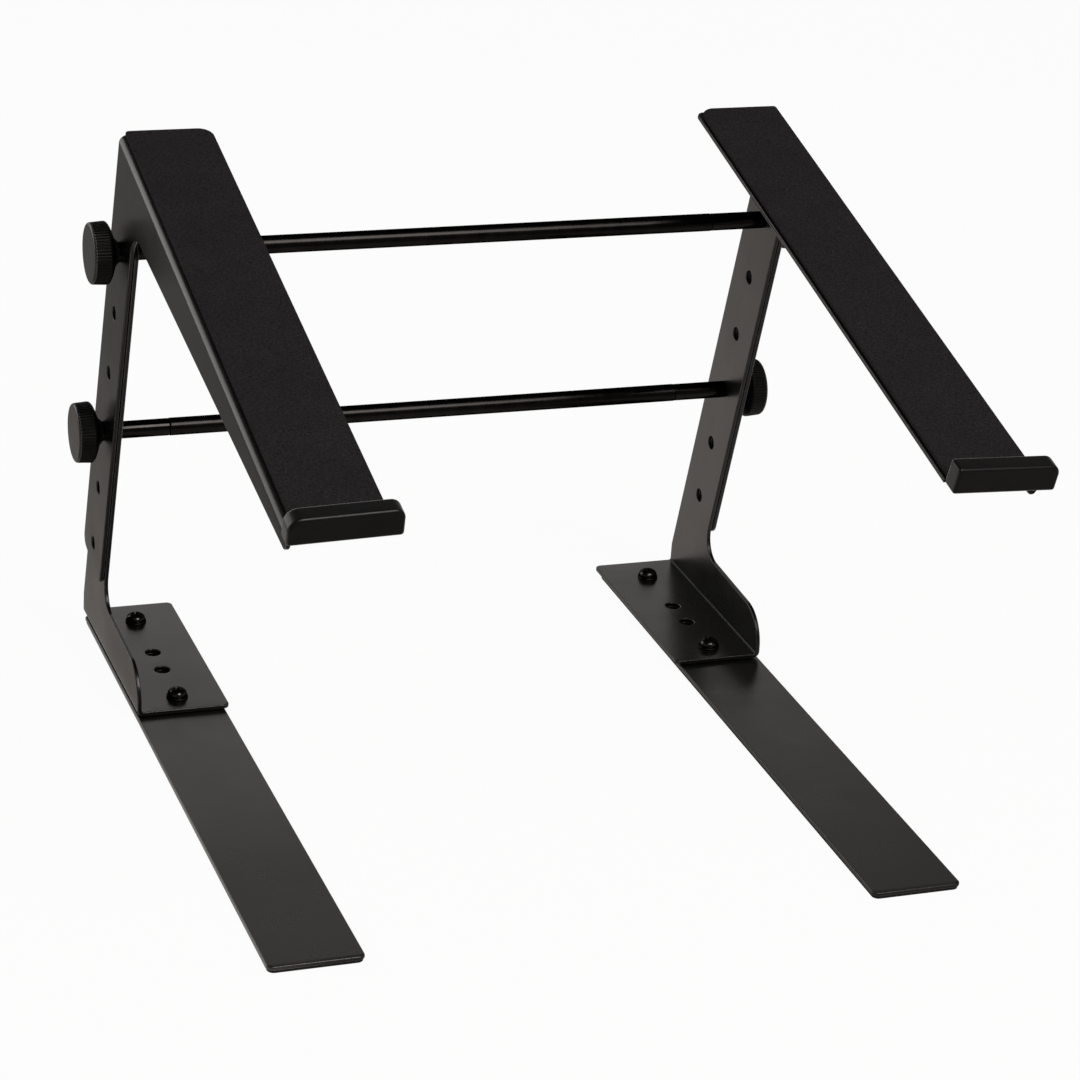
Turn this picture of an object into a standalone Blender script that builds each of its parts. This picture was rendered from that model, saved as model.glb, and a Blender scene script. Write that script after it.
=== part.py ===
"""Tabletop laptop stand: two bent-steel side frames, joined by two crossbars that thumb knobs clamp.

Metres; +X is the stand's right, -Y its front and +Z up. The origin is the middle of the footprint, on
the table. The side frames mirror each other: each shape is drawn for the right side and mirrored for
the left.
"""

import math

import bmesh
import bpy
from mathutils import Matrix, Vector

MM = 0.001
GAP = 0.3 * MM  # room between pieces that touch

# Sheet steel
SHEET = 1.8 * MM
BEND_INSIDE = 1.2 * MM
BEND_OUTSIDE = BEND_INSIDE + SHEET
BEND_STEPS = 4

# Foot plate and the sheet under it
FOOT_INNER_X = 101.8 * MM
FOOT_OUTER_X = 139.1 * MM
FOOT_FRONT_Y = -143.0 * MM
FOOT_BACK_Y = 163.0 * MM
FOOT_CORNER = 4.0 * MM
UNDERLAY = 0.8 * MM
UNDERLAY_INSET = 0.4 * MM
FOOT_BOTTOM_Z = UNDERLAY + GAP
FOOT_TOP_Z = FOOT_BOTTOM_Z + SHEET

# Row of holes that both posts share, leaning forward at the top
TOP_HOLE_Y = 98.0 * MM
TOP_HOLE_Z = 193.0 * MM
POST_LEAN = math.radians(15.5)
HOLE_PITCH = 30.0 * MM
HOLE_COUNT = 6
HOLE_RADIUS = 3.0 * MM
POST_HALF_WIDTH = 16.0 * MM
POST_END = 11.0 * MM  # from the last hole to the end of the post
POST_CORNER = 5.0 * MM

# Lower bracket: flange on the foot, gusset and post
LOWER_INNER_X = 137.4 * MM
LOWER_OUTER_X = LOWER_INNER_X + SHEET
FLANGE_INNER_X = 100.0 * MM
FLANGE_BOTTOM_Z = FOOT_TOP_Z + GAP
FLANGE_TOP_Z = FLANGE_BOTTOM_Z + SHEET
FLANGE_CORNER = 2.5 * MM
BRACKET_FRONT_Y = 61.2 * MM
BRACKET_BACK_Y = 164.5 * MM
GUSSET_FRONT_Z = 22.6 * MM
GUSSET_RISE = math.radians(2.3)  # slope of the gusset's top edge, up towards the post
GUSSET_FRONT_CORNER = 16.0 * MM
GUSSET_FILLET = 10.0 * MM
POST_FOOT_CORNER = 8.0 * MM

# Flange fastenings
FASTENING_X = 119.7 * MM
SCREW_MIDDLE_Y = 110.2 * MM
SCREW_SPACING = 75.0 * MM
SPARE_MIDDLE_Y = 107.4 * MM
SPARE_SPACING = 17.0 * MM
SPARE_HOLE_RADIUS = 3.3 * MM
SCREW_RADIUS = 2.0 * MM
SCREW_CLEARANCE = 0.3 * MM
SCREW_HEAD_RADIUS = 4.0 * MM
SCREW_HEAD_HEIGHT = 2.8 * MM
SCREW_RECESS_LENGTH = 4.4 * MM
SCREW_RECESS_WIDTH = 1.0 * MM
SCREW_RECESS_DEPTH = 1.5 * MM
WASHER_RADIUS = 4.5 * MM
WASHER_THICKNESS = 0.8 * MM

# Upper bracket: strip outside the post, web, sloping platform and front tab
UPPER_INNER_X = LOWER_OUTER_X + GAP
UPPER_OUTER_X = UPPER_INNER_X + SHEET
PLATFORM_INNER_X = 104.6 * MM
PLATFORM_SLOPE = math.radians(13.25)
PAD_TOP_Z = 241.9 * MM  # height of the pad's top straight above the top hole
PAD = 1.8 * MM
PAD_INSET = 0.4 * MM
PAD_OUTER_X = 138.6 * MM
PAD_BACK_CORNER = 6.0 * MM
PAD_FRONT_CORNER = 1.5 * MM
PLATFORM_TOP_UP = -(PAD + GAP)
PLATFORM_BOTTOM_UP = PLATFORM_TOP_UP - SHEET
PLATFORM_CORNER = 3.0 * MM
WEB_END = 261.0 * MM  # distances along the platform are from the point above the top hole, forward
WEB_TIP = 262.0 * MM
WEB_TIP_UP = -9.6 * MM
WEB_TIP_CORNER = 3.5 * MM
WEB_BACK = 50.6 * MM
WEB_BACK_UP = -25.6 * MM
WEB_FILLET = 9.0 * MM
SLIT = 1.2 * MM

# Front lip: a moulded cap over the turned-up tab
LIP_INNER_X = 102.6 * MM
LIP_OUTER_X = 144.2 * MM
LIP_BACK = 262.4 * MM
LIP_FRONT = 267.8 * MM
LIP_BOTTOM_UP = -2.8 * MM
LIP_TOP_UP = 8.2 * MM
LIP_TOP_CORNER = 4.0 * MM
LIP_BOTTOM_CORNER = 1.0 * MM
LIP_SEAT_UP = GAP  # between its ends, the back wall stops above the level of the pad's top
TAB_FRONT = 266.0 * MM
TAB_TOP_UP = 4.5 * MM
TAB_OUTER_X = 141.0 * MM
TAB_CORNER = 3.0 * MM

# Crossbars and their end pieces
BAR_RADIUS = 3.75 * MM
BAR_HALF_LENGTH = 113.3 * MM
BAR_CHAMFER = 0.3 * MM
BAR_BORE_DEPTH = 9.0 * MM
BAR_END_RADIUS = 3.65 * MM
SPIGOT_RADIUS = 2.2 * MM
SPIGOT_LENGTH = 8.0 * MM
STUD_RADIUS = 2.5 * MM
STUD_CHAMFER = 0.5 * MM
STUD_DEPTH = 13.0 * MM
BAR_HOLES = {"upper": 0, "lower": 3}  # hole of the post, counted from the top

# Thumb knob, measured outward from the outer face of the upper bracket
STUD_TIP_END = 10.6 * MM
INSERT_COLLAR_RADIUS = 4.2 * MM
INSERT_COLLAR_END = 2.2 * MM
INSERT_RADIUS = 3.9 * MM
INSERT_END = 8.5 * MM
KNOB_BORE_END = 11.0 * MM
KNOB_HUB_RADIUS = 5.9 * MM
KNOB_NECK_RADIUS = 6.4 * MM
KNOB_NECK_END = 3.5 * MM
KNOB_RIM_RADIUS = 12.8 * MM
KNOB_RIM_START = 6.0 * MM
KNOB_RIM_END = 11.9 * MM
KNOB_RIM_TAPER = 0.4 * MM
KNOB_FACE = 12.5 * MM
KNOB_FACE_RADIUS = 11.3 * MM
KNOB_TEETH = 30
KNOB_TOOTH_DEPTH = 0.35 * MM

ROUND_SEGMENTS = 20
SMALL_SEGMENTS = 16  # holes, screws and washers
CORNER_STEPS = 4
SIDES = {"left": -1, "right": 1}

POST_DOWN = Vector((math.sin(POST_LEAN), -math.cos(POST_LEAN)))
POST_FORWARD = Vector((-math.cos(POST_LEAN), -math.sin(POST_LEAN)))
PLATFORM_ALONG = Vector((-math.cos(PLATFORM_SLOPE), -math.sin(PLATFORM_SLOPE)))
PLATFORM_UP = Vector((-math.sin(PLATFORM_SLOPE), math.cos(PLATFORM_SLOPE)))


def clear_scene():
    for thing in list(bpy.data.objects):
        bpy.data.objects.remove(thing, do_unlink=True)


def make_material(name, colour, roughness, metallic):
    material = bpy.data.materials.new(name)
    material.use_nodes = True
    shader = material.node_tree.nodes["Principled BSDF"]
    shader.inputs["Base Color"].default_value = (*colour, 1.0)
    shader.inputs["Roughness"].default_value = roughness
    shader.inputs["Metallic"].default_value = metallic
    return material


# Places on the post and on the platform, as points of the YZ plane

def on_post(down, forward):
    """Point a distance down the row of holes from the top hole, and forward of the row."""
    return Vector((TOP_HOLE_Y, TOP_HOLE_Z)) + POST_DOWN * down + POST_FORWARD * forward


def on_platform(along, up):
    """Point a distance forward along the pad's top from above the top hole, and square off it."""
    return Vector((TOP_HOLE_Y, PAD_TOP_Z)) + PLATFORM_ALONG * along + PLATFORM_UP * up


def crossing(point, direction, other_point, other_direction):
    """Where two lines of the YZ plane cross."""
    normal = Vector((-other_direction.y, other_direction.x))
    return point + direction * ((other_point - point).dot(normal) / direction.dot(normal))


def bar_centre(level):
    return on_post(BAR_HOLES[level] * HOLE_PITCH, 0.0)


# Outlines and meshes

def rounded(corners):
    """Closed outline through (point, radius) corners, each corner rounded to its radius."""
    outline = []
    for index, (corner, radius) in enumerate(corners):
        corner = Vector(corner)
        if radius == 0.0:
            outline.append(corner)
            continue
        before = (Vector(corners[index - 1][0]) - corner).normalized()
        after = (Vector(corners[(index + 1) % len(corners)][0]) - corner).normalized()
        half = before.angle(after) / 2
        centre = corner + (before + after).normalized() * (radius / math.sin(half))
        start = corner + before * (radius / math.tan(half)) - centre
        end = corner + after * (radius / math.tan(half)) - centre
        first = math.atan2(start.y, start.x)
        turn = math.remainder(math.atan2(end.y, end.x) - first, math.tau)
        for step in range(CORNER_STEPS + 1):
            angle = first + turn * step / CORNER_STEPS
            outline.append(centre + Vector((math.cos(angle), math.sin(angle))) * radius)
    return outline


def quarter_bend(centre, start, end):
    """Points of a quarter turn about a centre, from one arm to the other, both arms square and equal."""
    return [centre + start * math.cos(angle) + end * math.sin(angle)
            for angle in (math.pi / 2 * step / BEND_STEPS for step in range(BEND_STEPS + 1))]


def add_face(bm, points, towards):
    """Face through the points, turned so that it looks towards a direction."""
    face = bm.faces.new([bm.verts.new(point) for point in points])
    face.normal_update()
    if face.normal.dot(towards) < 0:
        face.normal_flip()


def add_bend(bm, near, far, towards):
    """Strip of faces between two matching rows of points along a bend, looking towards a direction."""
    for index in range(len(near) - 1):
        add_face(bm, [near[index], near[index + 1], far[index + 1], far[index]], towards)


def mirror(bm):
    """Turn a right-hand shape into the left-hand one."""
    bmesh.ops.scale(bm, vec=(-1, 1, 1), verts=bm.verts)
    bmesh.ops.reverse_faces(bm, faces=bm.faces)


def finish(bm, name, material, side=1):
    """Object from a mesh drawn for the right side."""
    bmesh.ops.remove_doubles(bm, verts=bm.verts, dist=0.001 * MM)
    if side < 0:
        mirror(bm)
    mesh = bpy.data.meshes.new(name)
    bm.to_mesh(mesh)
    bm.free()
    mesh.shade_smooth()
    mesh.set_sharp_from_angle(angle=math.radians(35))
    thing = bpy.data.objects.new(name, mesh)
    thing.data.materials.append(material)
    bpy.context.collection.objects.link(thing)
    return thing


def prism(outline, shift, name, material, side=1):
    """Solid made by pushing a flat outline along a shift."""
    bm = bmesh.new()
    face = bm.faces.new([bm.verts.new(point) for point in outline])
    moved = bmesh.ops.extrude_face_region(bm, geom=[face])["geom"]
    moved_points = [item for item in moved if isinstance(item, bmesh.types.BMVert)]
    bmesh.ops.translate(bm, vec=shift, verts=moved_points)
    bmesh.ops.recalc_face_normals(bm, faces=bm.faces)
    return finish(bm, name, material, side)


def turned(stations, centre, name, material, side=1, segments=ROUND_SEGMENTS, closed=False):
    """Solid of rings about a line along X, from (x, radius, tooth depth) stations.

    The first and last rings are capped, or joined to each other when the profile is closed.
    """
    bm = bmesh.new()
    rings = []
    for x, radius, tooth in stations:
        ring = []
        for index in range(segments):
            reach = radius - tooth * (index % 2)
            angle = math.tau * index / segments
            place = centre + Vector((math.cos(angle), math.sin(angle))) * reach
            ring.append(bm.verts.new((x, *place)))
        rings.append(ring)
    pairs = list(zip(rings, rings[1:]))
    if closed:
        pairs.append((rings[-1], rings[0]))
    else:
        bm.faces.new(rings[0])
        bm.faces.new(rings[-1])
    for ring, following in pairs:
        for index in range(segments):
            after = (index + 1) % segments
            bm.faces.new((ring[index], ring[after], following[after], following[index]))
    bmesh.ops.recalc_face_normals(bm, faces=bm.faces)
    return finish(bm, name, material, side)


def upright(stations, centre, name, material, closed=False):
    """As turned, about a vertical line, from (height, radius) stations."""
    thing = turned([(z, radius, 0.0) for z, radius in stations], Vector((0.0, 0.0)), name, material,
                   segments=SMALL_SEGMENTS, closed=closed)
    stand_up = Matrix.Rotation(math.radians(-90), 4, "Y")
    thing.data.transform(Matrix.Translation((centre.x, centre.y, 0.0)) @ stand_up)
    return thing


def cut(thing, cutter):
    """Take a cutter's shape out of a piece."""
    cutter.hide_render = True
    cutter.display_type = "WIRE"
    modifier = thing.modifiers.new(cutter.name, "BOOLEAN")
    modifier.operation = "DIFFERENCE"
    modifier.solver = "EXACT"
    modifier.object = cutter


def cut_rounds(thing, name, places, radius, depth, axis):
    """Cut round holes at the places, along X or Z."""
    turn = Matrix.Rotation(math.radians(90), 4, "Y") if axis == "X" else Matrix.Identity(4)
    bm = bmesh.new()
    for place in places:
        bmesh.ops.create_cone(bm, cap_ends=True, segments=SMALL_SEGMENTS, radius1=radius, radius2=radius,
                              depth=depth, matrix=Matrix.Translation(place) @ turn)
    mesh = bpy.data.meshes.new(name)
    bm.to_mesh(mesh)
    bm.free()
    cutter = bpy.data.objects.new(name, mesh)
    bpy.context.collection.objects.link(cutter)
    cut(thing, cutter)


def thicken(thing):
    """Give a bent surface the sheet's thickness, away from the side that it looks towards."""
    modifier = thing.modifiers.new("sheet", "SOLIDIFY")
    modifier.thickness = SHEET
    modifier.offset = -1.0
    modifier.use_even_offset = True
    modifier.use_quality_normals = True


def pivot(name, location):
    """Empty on a joint's axis."""
    empty = bpy.data.objects.new(name, None)
    empty.location = location
    empty.empty_display_size = 10 * MM
    bpy.context.collection.objects.link(empty)
    return empty


def hang(thing, empty):
    """Parent a piece to its joint's empty, where it stands."""
    thing.parent = empty
    thing.matrix_parent_inverse = Matrix.Translation(empty.location).inverted()


# Pieces of one side

def screw_places(side, z):
    """Rear and front screw."""
    return [Vector((side * FASTENING_X, SCREW_MIDDLE_Y + end * SCREW_SPACING / 2, z)) for end in (1, -1)]


def spare_places(side, z):
    """Rear and front spare bolt hole."""
    return [Vector((side * FASTENING_X, SPARE_MIDDLE_Y + end * SPARE_SPACING / 2, z)) for end in (1, -1)]


def post_hole_places(side, x):
    return [Vector((side * x, *on_post(index * HOLE_PITCH, 0.0))) for index in range(HOLE_COUNT)]


def make_foot(word, side, steel, foam):
    inset = UNDERLAY_INSET
    for name, bottom, height, shrink, material in (
            ("foot_plate_" + word, FOOT_BOTTOM_Z, SHEET, 0.0, steel),
            ("foot_underlay_" + word, 0.0, UNDERLAY, inset, foam)):
        corners = [((FOOT_INNER_X + shrink, FOOT_FRONT_Y + shrink), FOOT_CORNER),
                   ((FOOT_OUTER_X - shrink, FOOT_FRONT_Y + shrink), FOOT_CORNER),
                   ((FOOT_OUTER_X - shrink, FOOT_BACK_Y - shrink), FOOT_CORNER),
                   ((FOOT_INNER_X + shrink, FOOT_BACK_Y - shrink), FOOT_CORNER)]
        outline = [(point.x, point.y, bottom) for point in rounded(corners)]
        piece = prism(outline, (0, 0, height), name, material, side)
        middle = bottom + height / 2
        cut_rounds(piece, name + "_spare_holes", spare_places(side, middle),
                   SPARE_HOLE_RADIUS, 3 * SHEET, "Z")
        if material == steel:
            cut_rounds(piece, name + "_screw_holes", screw_places(side, middle),
                       SCREW_RADIUS + SCREW_CLEARANCE, 3 * SHEET, "Z")


def make_lower_bracket(word, side, steel):
    bend_z = FLANGE_TOP_Z + BEND_INSIDE
    bend_x = LOWER_INNER_X - BEND_INSIDE
    post_top = on_post(-POST_END, 0.0)
    back_line = on_post(0.0, -POST_HALF_WIDTH)
    front_line = on_post(0.0, POST_HALF_WIDTH)
    gusset_line = Vector((BRACKET_FRONT_Y, GUSSET_FRONT_Z))
    gusset_way = Vector((math.cos(GUSSET_RISE), math.sin(GUSSET_RISE)))
    back_way = Vector((0.0, 1.0))
    corners = [((BRACKET_FRONT_Y, bend_z), 0.0),
               ((BRACKET_BACK_Y, bend_z), 0.0),
               (crossing(back_line, POST_DOWN, Vector((BRACKET_BACK_Y, 0.0)), back_way), POST_FOOT_CORNER),
               (post_top - POST_FORWARD * POST_HALF_WIDTH, POST_CORNER),
               (post_top + POST_FORWARD * POST_HALF_WIDTH, POST_CORNER),
               (crossing(front_line, POST_DOWN, gusset_line, gusset_way), GUSSET_FILLET),
               (gusset_line, GUSSET_FRONT_CORNER)]
    bm = bmesh.new()
    add_face(bm, [(LOWER_INNER_X, *point) for point in rounded(corners)], Vector((-1, 0, 0)))
    arc = quarter_bend(Vector((bend_x, bend_z)), Vector((BEND_INSIDE, 0.0)), Vector((0.0, -BEND_INSIDE)))
    add_bend(bm, [(point.x, BRACKET_FRONT_Y, point.y) for point in arc],
             [(point.x, BRACKET_BACK_Y, point.y) for point in arc], Vector((-1, 0, 1)))
    flange = [((bend_x, BRACKET_FRONT_Y), 0.0),
              ((bend_x, BRACKET_BACK_Y), 0.0),
              ((FLANGE_INNER_X, BRACKET_BACK_Y), FLANGE_CORNER),
              ((FLANGE_INNER_X, BRACKET_FRONT_Y), FLANGE_CORNER)]
    add_face(bm, [(point.x, point.y, FLANGE_TOP_Z) for point in rounded(flange)], Vector((0, 0, 1)))
    name = "lower_bracket_" + word
    piece = finish(bm, name, steel, side)
    thicken(piece)
    cut_rounds(piece, name + "_post_holes", post_hole_places(side, LOWER_INNER_X),
               HOLE_RADIUS, 6 * SHEET, "X")
    cut_rounds(piece, name + "_spare_holes", spare_places(side, FLANGE_TOP_Z),
               SPARE_HOLE_RADIUS, 3 * SHEET, "Z")
    cut_rounds(piece, name + "_screw_holes", screw_places(side, FLANGE_TOP_Z),
               SCREW_RADIUS + SCREW_CLEARANCE, 3 * SHEET, "Z")


def cross_outline():
    """Outline of the screw's cross recess, about its middle."""
    arm = SCREW_RECESS_LENGTH / 2
    half = SCREW_RECESS_WIDTH / 2
    quarter = [Vector((half, half)), Vector((half, arm)), Vector((-half, arm))]
    return [Matrix.Rotation(math.radians(turn), 2) @ point for turn in (0, 90, 180, 270) for point in quarter]


def make_fastenings(word, side, screw_metal, washer_metal):
    washer_bottom = FLANGE_TOP_Z + GAP
    washer_top = washer_bottom + WASHER_THICKNESS
    head_bottom = washer_top + GAP
    head_top = head_bottom + SCREW_HEAD_HEIGHT
    hole = SCREW_RADIUS + SCREW_CLEARANCE
    for end, place in zip(("rear", "front"), screw_places(side, 0.0)):
        label = word + "_" + end
        upright([(washer_bottom, hole), (washer_top, hole), (washer_top, WASHER_RADIUS),
                 (washer_bottom, WASHER_RADIUS)], place, "foot_washer_" + label, washer_metal, closed=True)
        dome = [(head_bottom + SCREW_HEAD_HEIGHT * math.sin(angle) ** 0.8,
                 SCREW_HEAD_RADIUS * (0.55 + 0.45 * math.cos(angle)))
                for angle in (math.radians(degrees) for degrees in (25, 50, 75, 90))]
        screw = upright([(FOOT_BOTTOM_Z + GAP, SCREW_RADIUS), (head_bottom, SCREW_RADIUS),
                         (head_bottom, SCREW_HEAD_RADIUS), *dome], place, "foot_screw_" + label, screw_metal)
        bottom = head_top - SCREW_RECESS_DEPTH
        outline = [(place.x + point.x, place.y + point.y, bottom) for point in cross_outline()]
        cut(screw, prism(outline, (0, 0, 2 * SCREW_RECESS_DEPTH), "foot_recess_" + label, screw_metal))


def make_upper_bracket(word, side, steel, empty):
    bend_up = PLATFORM_BOTTOM_UP - BEND_INSIDE
    bend_x = UPPER_INNER_X - BEND_INSIDE
    tab_start = TAB_FRONT - BEND_OUTSIDE
    tab_bend_up = PLATFORM_BOTTOM_UP + BEND_OUTSIDE
    back_line = on_post(0.0, -POST_HALF_WIDTH)
    back_corner = crossing(back_line, POST_DOWN, on_platform(0.0, bend_up), PLATFORM_ALONG)
    back = (back_corner - on_platform(0.0, bend_up)).dot(PLATFORM_ALONG)
    lower_edge = on_platform(WEB_BACK, WEB_BACK_UP)
    tip = on_platform(WEB_TIP, WEB_TIP_UP)
    strip_end = on_post((HOLE_COUNT - 1) * HOLE_PITCH + POST_END, 0.0)
    notch = crossing(on_post(0.0, POST_HALF_WIDTH), POST_DOWN, lower_edge, tip - lower_edge)
    corners = [(back_corner, 0.0),
               (on_platform(WEB_END, bend_up), 0.0),
               (tip, WEB_TIP_CORNER),
               (notch, WEB_FILLET),
               (strip_end + POST_FORWARD * POST_HALF_WIDTH, POST_CORNER),
               (strip_end - POST_FORWARD * POST_HALF_WIDTH, POST_CORNER)]
    inward = Vector((-1, 0, 0))
    down = Vector((0, *-PLATFORM_UP))
    forward = Vector((0, *PLATFORM_ALONG))
    bm = bmesh.new()
    add_face(bm, [(UPPER_INNER_X, *point) for point in rounded(corners)], inward)
    arc = quarter_bend(Vector((bend_x, bend_up)), Vector((BEND_INSIDE, 0.0)), Vector((0.0, BEND_INSIDE)))
    add_bend(bm, [(point.x, *on_platform(back, point.y)) for point in arc],
             [(point.x, *on_platform(WEB_END, point.y)) for point in arc], inward + down)
    platform = [((bend_x, back), 0.0), ((bend_x, WEB_END), 0.0), ((bend_x - SLIT, WEB_END), 0.0),
                ((bend_x - SLIT, WEB_END + SLIT), 0.0), ((TAB_OUTER_X, WEB_END + SLIT), 0.0),
                ((TAB_OUTER_X, tab_start), 0.0), ((PLATFORM_INNER_X, tab_start), 0.0),
                ((PLATFORM_INNER_X, back), PLATFORM_CORNER)]
    add_face(bm, [(point.x, *on_platform(point.y, PLATFORM_BOTTOM_UP)) for point in rounded(platform)], down)
    tab_arc = quarter_bend(Vector((tab_start, tab_bend_up)), Vector((0.0, -BEND_OUTSIDE)),
                           Vector((BEND_OUTSIDE, 0.0)))
    add_bend(bm, [(PLATFORM_INNER_X, *on_platform(*point)) for point in tab_arc],
             [(TAB_OUTER_X, *on_platform(*point)) for point in tab_arc], down + forward)
    tab = [((PLATFORM_INNER_X, tab_bend_up), 0.0), ((TAB_OUTER_X, tab_bend_up), 0.0),
           ((TAB_OUTER_X, TAB_TOP_UP), TAB_CORNER), ((PLATFORM_INNER_X, TAB_TOP_UP), TAB_CORNER)]
    add_face(bm, [(point.x, *on_platform(TAB_FRONT, point.y)) for point in rounded(tab)], forward)
    name = "upper_bracket_" + word
    piece = finish(bm, name, steel, side)
    thicken(piece)
    cut_rounds(piece, name + "_strip_holes", post_hole_places(side, UPPER_INNER_X),
               HOLE_RADIUS, 6 * SHEET, "X")
    hang(piece, empty)
    return back


def make_platform_pad(word, side, foam, back, empty):
    inner = PLATFORM_INNER_X + PAD_INSET
    front = LIP_BACK - GAP
    corners = [((inner, back + PAD_INSET), PAD_BACK_CORNER),
               ((PAD_OUTER_X, back + PAD_INSET), PAD_FRONT_CORNER),
               ((PAD_OUTER_X, front), PAD_FRONT_CORNER),
               ((inner, front), PAD_FRONT_CORNER)]
    outline = [(point.x, *on_platform(point.y, -PAD)) for point in rounded(corners)]
    hang(prism(outline, (0, *(PLATFORM_UP * PAD)), "platform_pad_" + word, foam, side), empty)


def make_front_lip(word, side, rubber, empty):
    corners = [((LIP_INNER_X, LIP_BOTTOM_UP), LIP_BOTTOM_CORNER),
               ((LIP_OUTER_X, LIP_BOTTOM_UP), LIP_BOTTOM_CORNER),
               ((LIP_OUTER_X, LIP_TOP_UP), LIP_TOP_CORNER),
               ((LIP_INNER_X, LIP_TOP_UP), LIP_TOP_CORNER)]
    outline = [(point.x, *on_platform(LIP_BACK, point.y)) for point in rounded(corners)]
    depth = PLATFORM_ALONG * (LIP_FRONT - LIP_BACK)
    lip = prism(outline, (0, *depth), "front_lip_" + word, rubber, side)
    inner = PLATFORM_INNER_X - GAP
    outer = TAB_OUTER_X + GAP
    below = 2 * LIP_BOTTOM_UP
    top = TAB_TOP_UP + GAP
    pocket = [((inner, below), 0.0), ((outer, below), 0.0),
              ((outer, top), TAB_CORNER), ((inner, top), TAB_CORNER)]
    pocket_outline = [(point.x, *on_platform(TAB_FRONT - SHEET - GAP, point.y)) for point in rounded(pocket)]
    width = PLATFORM_ALONG * (SHEET + 2 * GAP)
    cut(lip, prism(pocket_outline, (0, *width), "front_lip_pocket_" + word, rubber, side))
    seat = [(LIP_BACK - LIP_TOP_UP, below), (TAB_FRONT - SHEET / 2, below),
            (TAB_FRONT - SHEET / 2, LIP_SEAT_UP), (LIP_BACK - LIP_TOP_UP, LIP_SEAT_UP)]
    seat_outline = [(inner, *on_platform(*point)) for point in seat]
    seat_width = UPPER_OUTER_X + GAP - inner
    cut(lip, prism(seat_outline, (seat_width, 0, 0), "front_lip_seat_" + word, rubber, side))
    hang(lip, empty)


# Crossbars and clamps

def make_crossbar(level, bar_metal):
    centre = bar_centre(level)
    bore = SPIGOT_RADIUS + GAP
    half = [(BAR_HALF_LENGTH - BAR_BORE_DEPTH, bore, 0.0), (BAR_HALF_LENGTH, bore, 0.0),
            (BAR_HALF_LENGTH, BAR_RADIUS - BAR_CHAMFER, 0.0),
            (BAR_HALF_LENGTH - BAR_CHAMFER, BAR_RADIUS, 0.0)]
    other_half = [(-x, radius, tooth) for x, radius, tooth in reversed(half)]
    turned(half + other_half, centre, "crossbar_" + level, bar_metal)


def make_bar_end(level, word, side, bar_metal, stud_metal):
    centre = bar_centre(level)
    label = level + "_" + word
    shoulder = BAR_HALF_LENGTH + GAP
    face = LOWER_INNER_X - GAP
    bore = STUD_RADIUS + GAP
    turned([(BAR_HALF_LENGTH - SPIGOT_LENGTH, SPIGOT_RADIUS, 0.0), (shoulder, SPIGOT_RADIUS, 0.0),
            (shoulder, BAR_END_RADIUS - BAR_CHAMFER, 0.0), (shoulder + BAR_CHAMFER, BAR_END_RADIUS, 0.0),
            (face - BAR_CHAMFER, BAR_END_RADIUS, 0.0), (face, BAR_END_RADIUS - BAR_CHAMFER, 0.0),
            (face, bore, 0.0), (face - STUD_DEPTH, bore, 0.0)], centre, "bar_end_" + label, bar_metal, side)
    slim = STUD_RADIUS - STUD_CHAMFER
    start = face - STUD_DEPTH + GAP
    turned([(start, slim, 0.0), (start + STUD_CHAMFER, STUD_RADIUS, 0.0), (LOWER_OUTER_X, STUD_RADIUS, 0.0)],
           centre, "clamp_stud_" + label, stud_metal, side)
    tip_start = UPPER_OUTER_X + GAP
    tip_end = UPPER_OUTER_X + STUD_TIP_END
    turned([(tip_start, STUD_RADIUS, 0.0), (tip_end - STUD_CHAMFER, STUD_RADIUS, 0.0), (tip_end, slim, 0.0)],
           centre, "stud_tip_" + label, stud_metal, side)


def make_knob(level, word, side, plastic, insert_metal):
    centre = bar_centre(level)
    label = level + "_" + word
    empty = pivot("knob_axis_" + label, (side * UPPER_OUTER_X, *centre))
    face = UPPER_OUTER_X
    thread = STUD_RADIUS + GAP
    insert = turned([(face + GAP, thread, 0.0), (face + GAP, INSERT_COLLAR_RADIUS, 0.0),
                     (face + INSERT_COLLAR_END, INSERT_COLLAR_RADIUS, 0.0),
                     (face + INSERT_COLLAR_END, INSERT_RADIUS, 0.0), (face + INSERT_END, INSERT_RADIUS, 0.0),
                     (face + INSERT_END, thread, 0.0)],
                    centre, "knob_insert_" + label, insert_metal, side, closed=True)
    hang(insert, empty)
    socket = INSERT_RADIUS + GAP
    back = INSERT_COLLAR_END + GAP
    rim = KNOB_RIM_RADIUS
    tooth = KNOB_TOOTH_DEPTH
    profile = [(KNOB_BORE_END, thread, 0.0), (INSERT_END + GAP, thread, 0.0), (INSERT_END + GAP, socket, 0.0),
               (back, socket, 0.0), (back, KNOB_HUB_RADIUS, 0.0), (KNOB_NECK_END, KNOB_NECK_RADIUS, 0.0)]
    flare = KNOB_RIM_START - KNOB_NECK_END
    for fraction in (0.45, 0.8):
        reach = KNOB_NECK_RADIUS + (rim - KNOB_NECK_RADIUS) * math.sin(fraction * math.pi / 2)
        profile.append((KNOB_NECK_END + flare * fraction, reach, tooth * fraction))
    profile += [(KNOB_RIM_START, rim, tooth), (KNOB_RIM_END, rim - KNOB_RIM_TAPER, tooth),
                (KNOB_FACE, KNOB_FACE_RADIUS, 0.0)]
    knob = turned([(face + outward, radius, depth) for outward, radius, depth in profile], centre,
                  "knob_" + label, plastic, side, segments=2 * KNOB_TEETH)
    hang(knob, empty)


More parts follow.
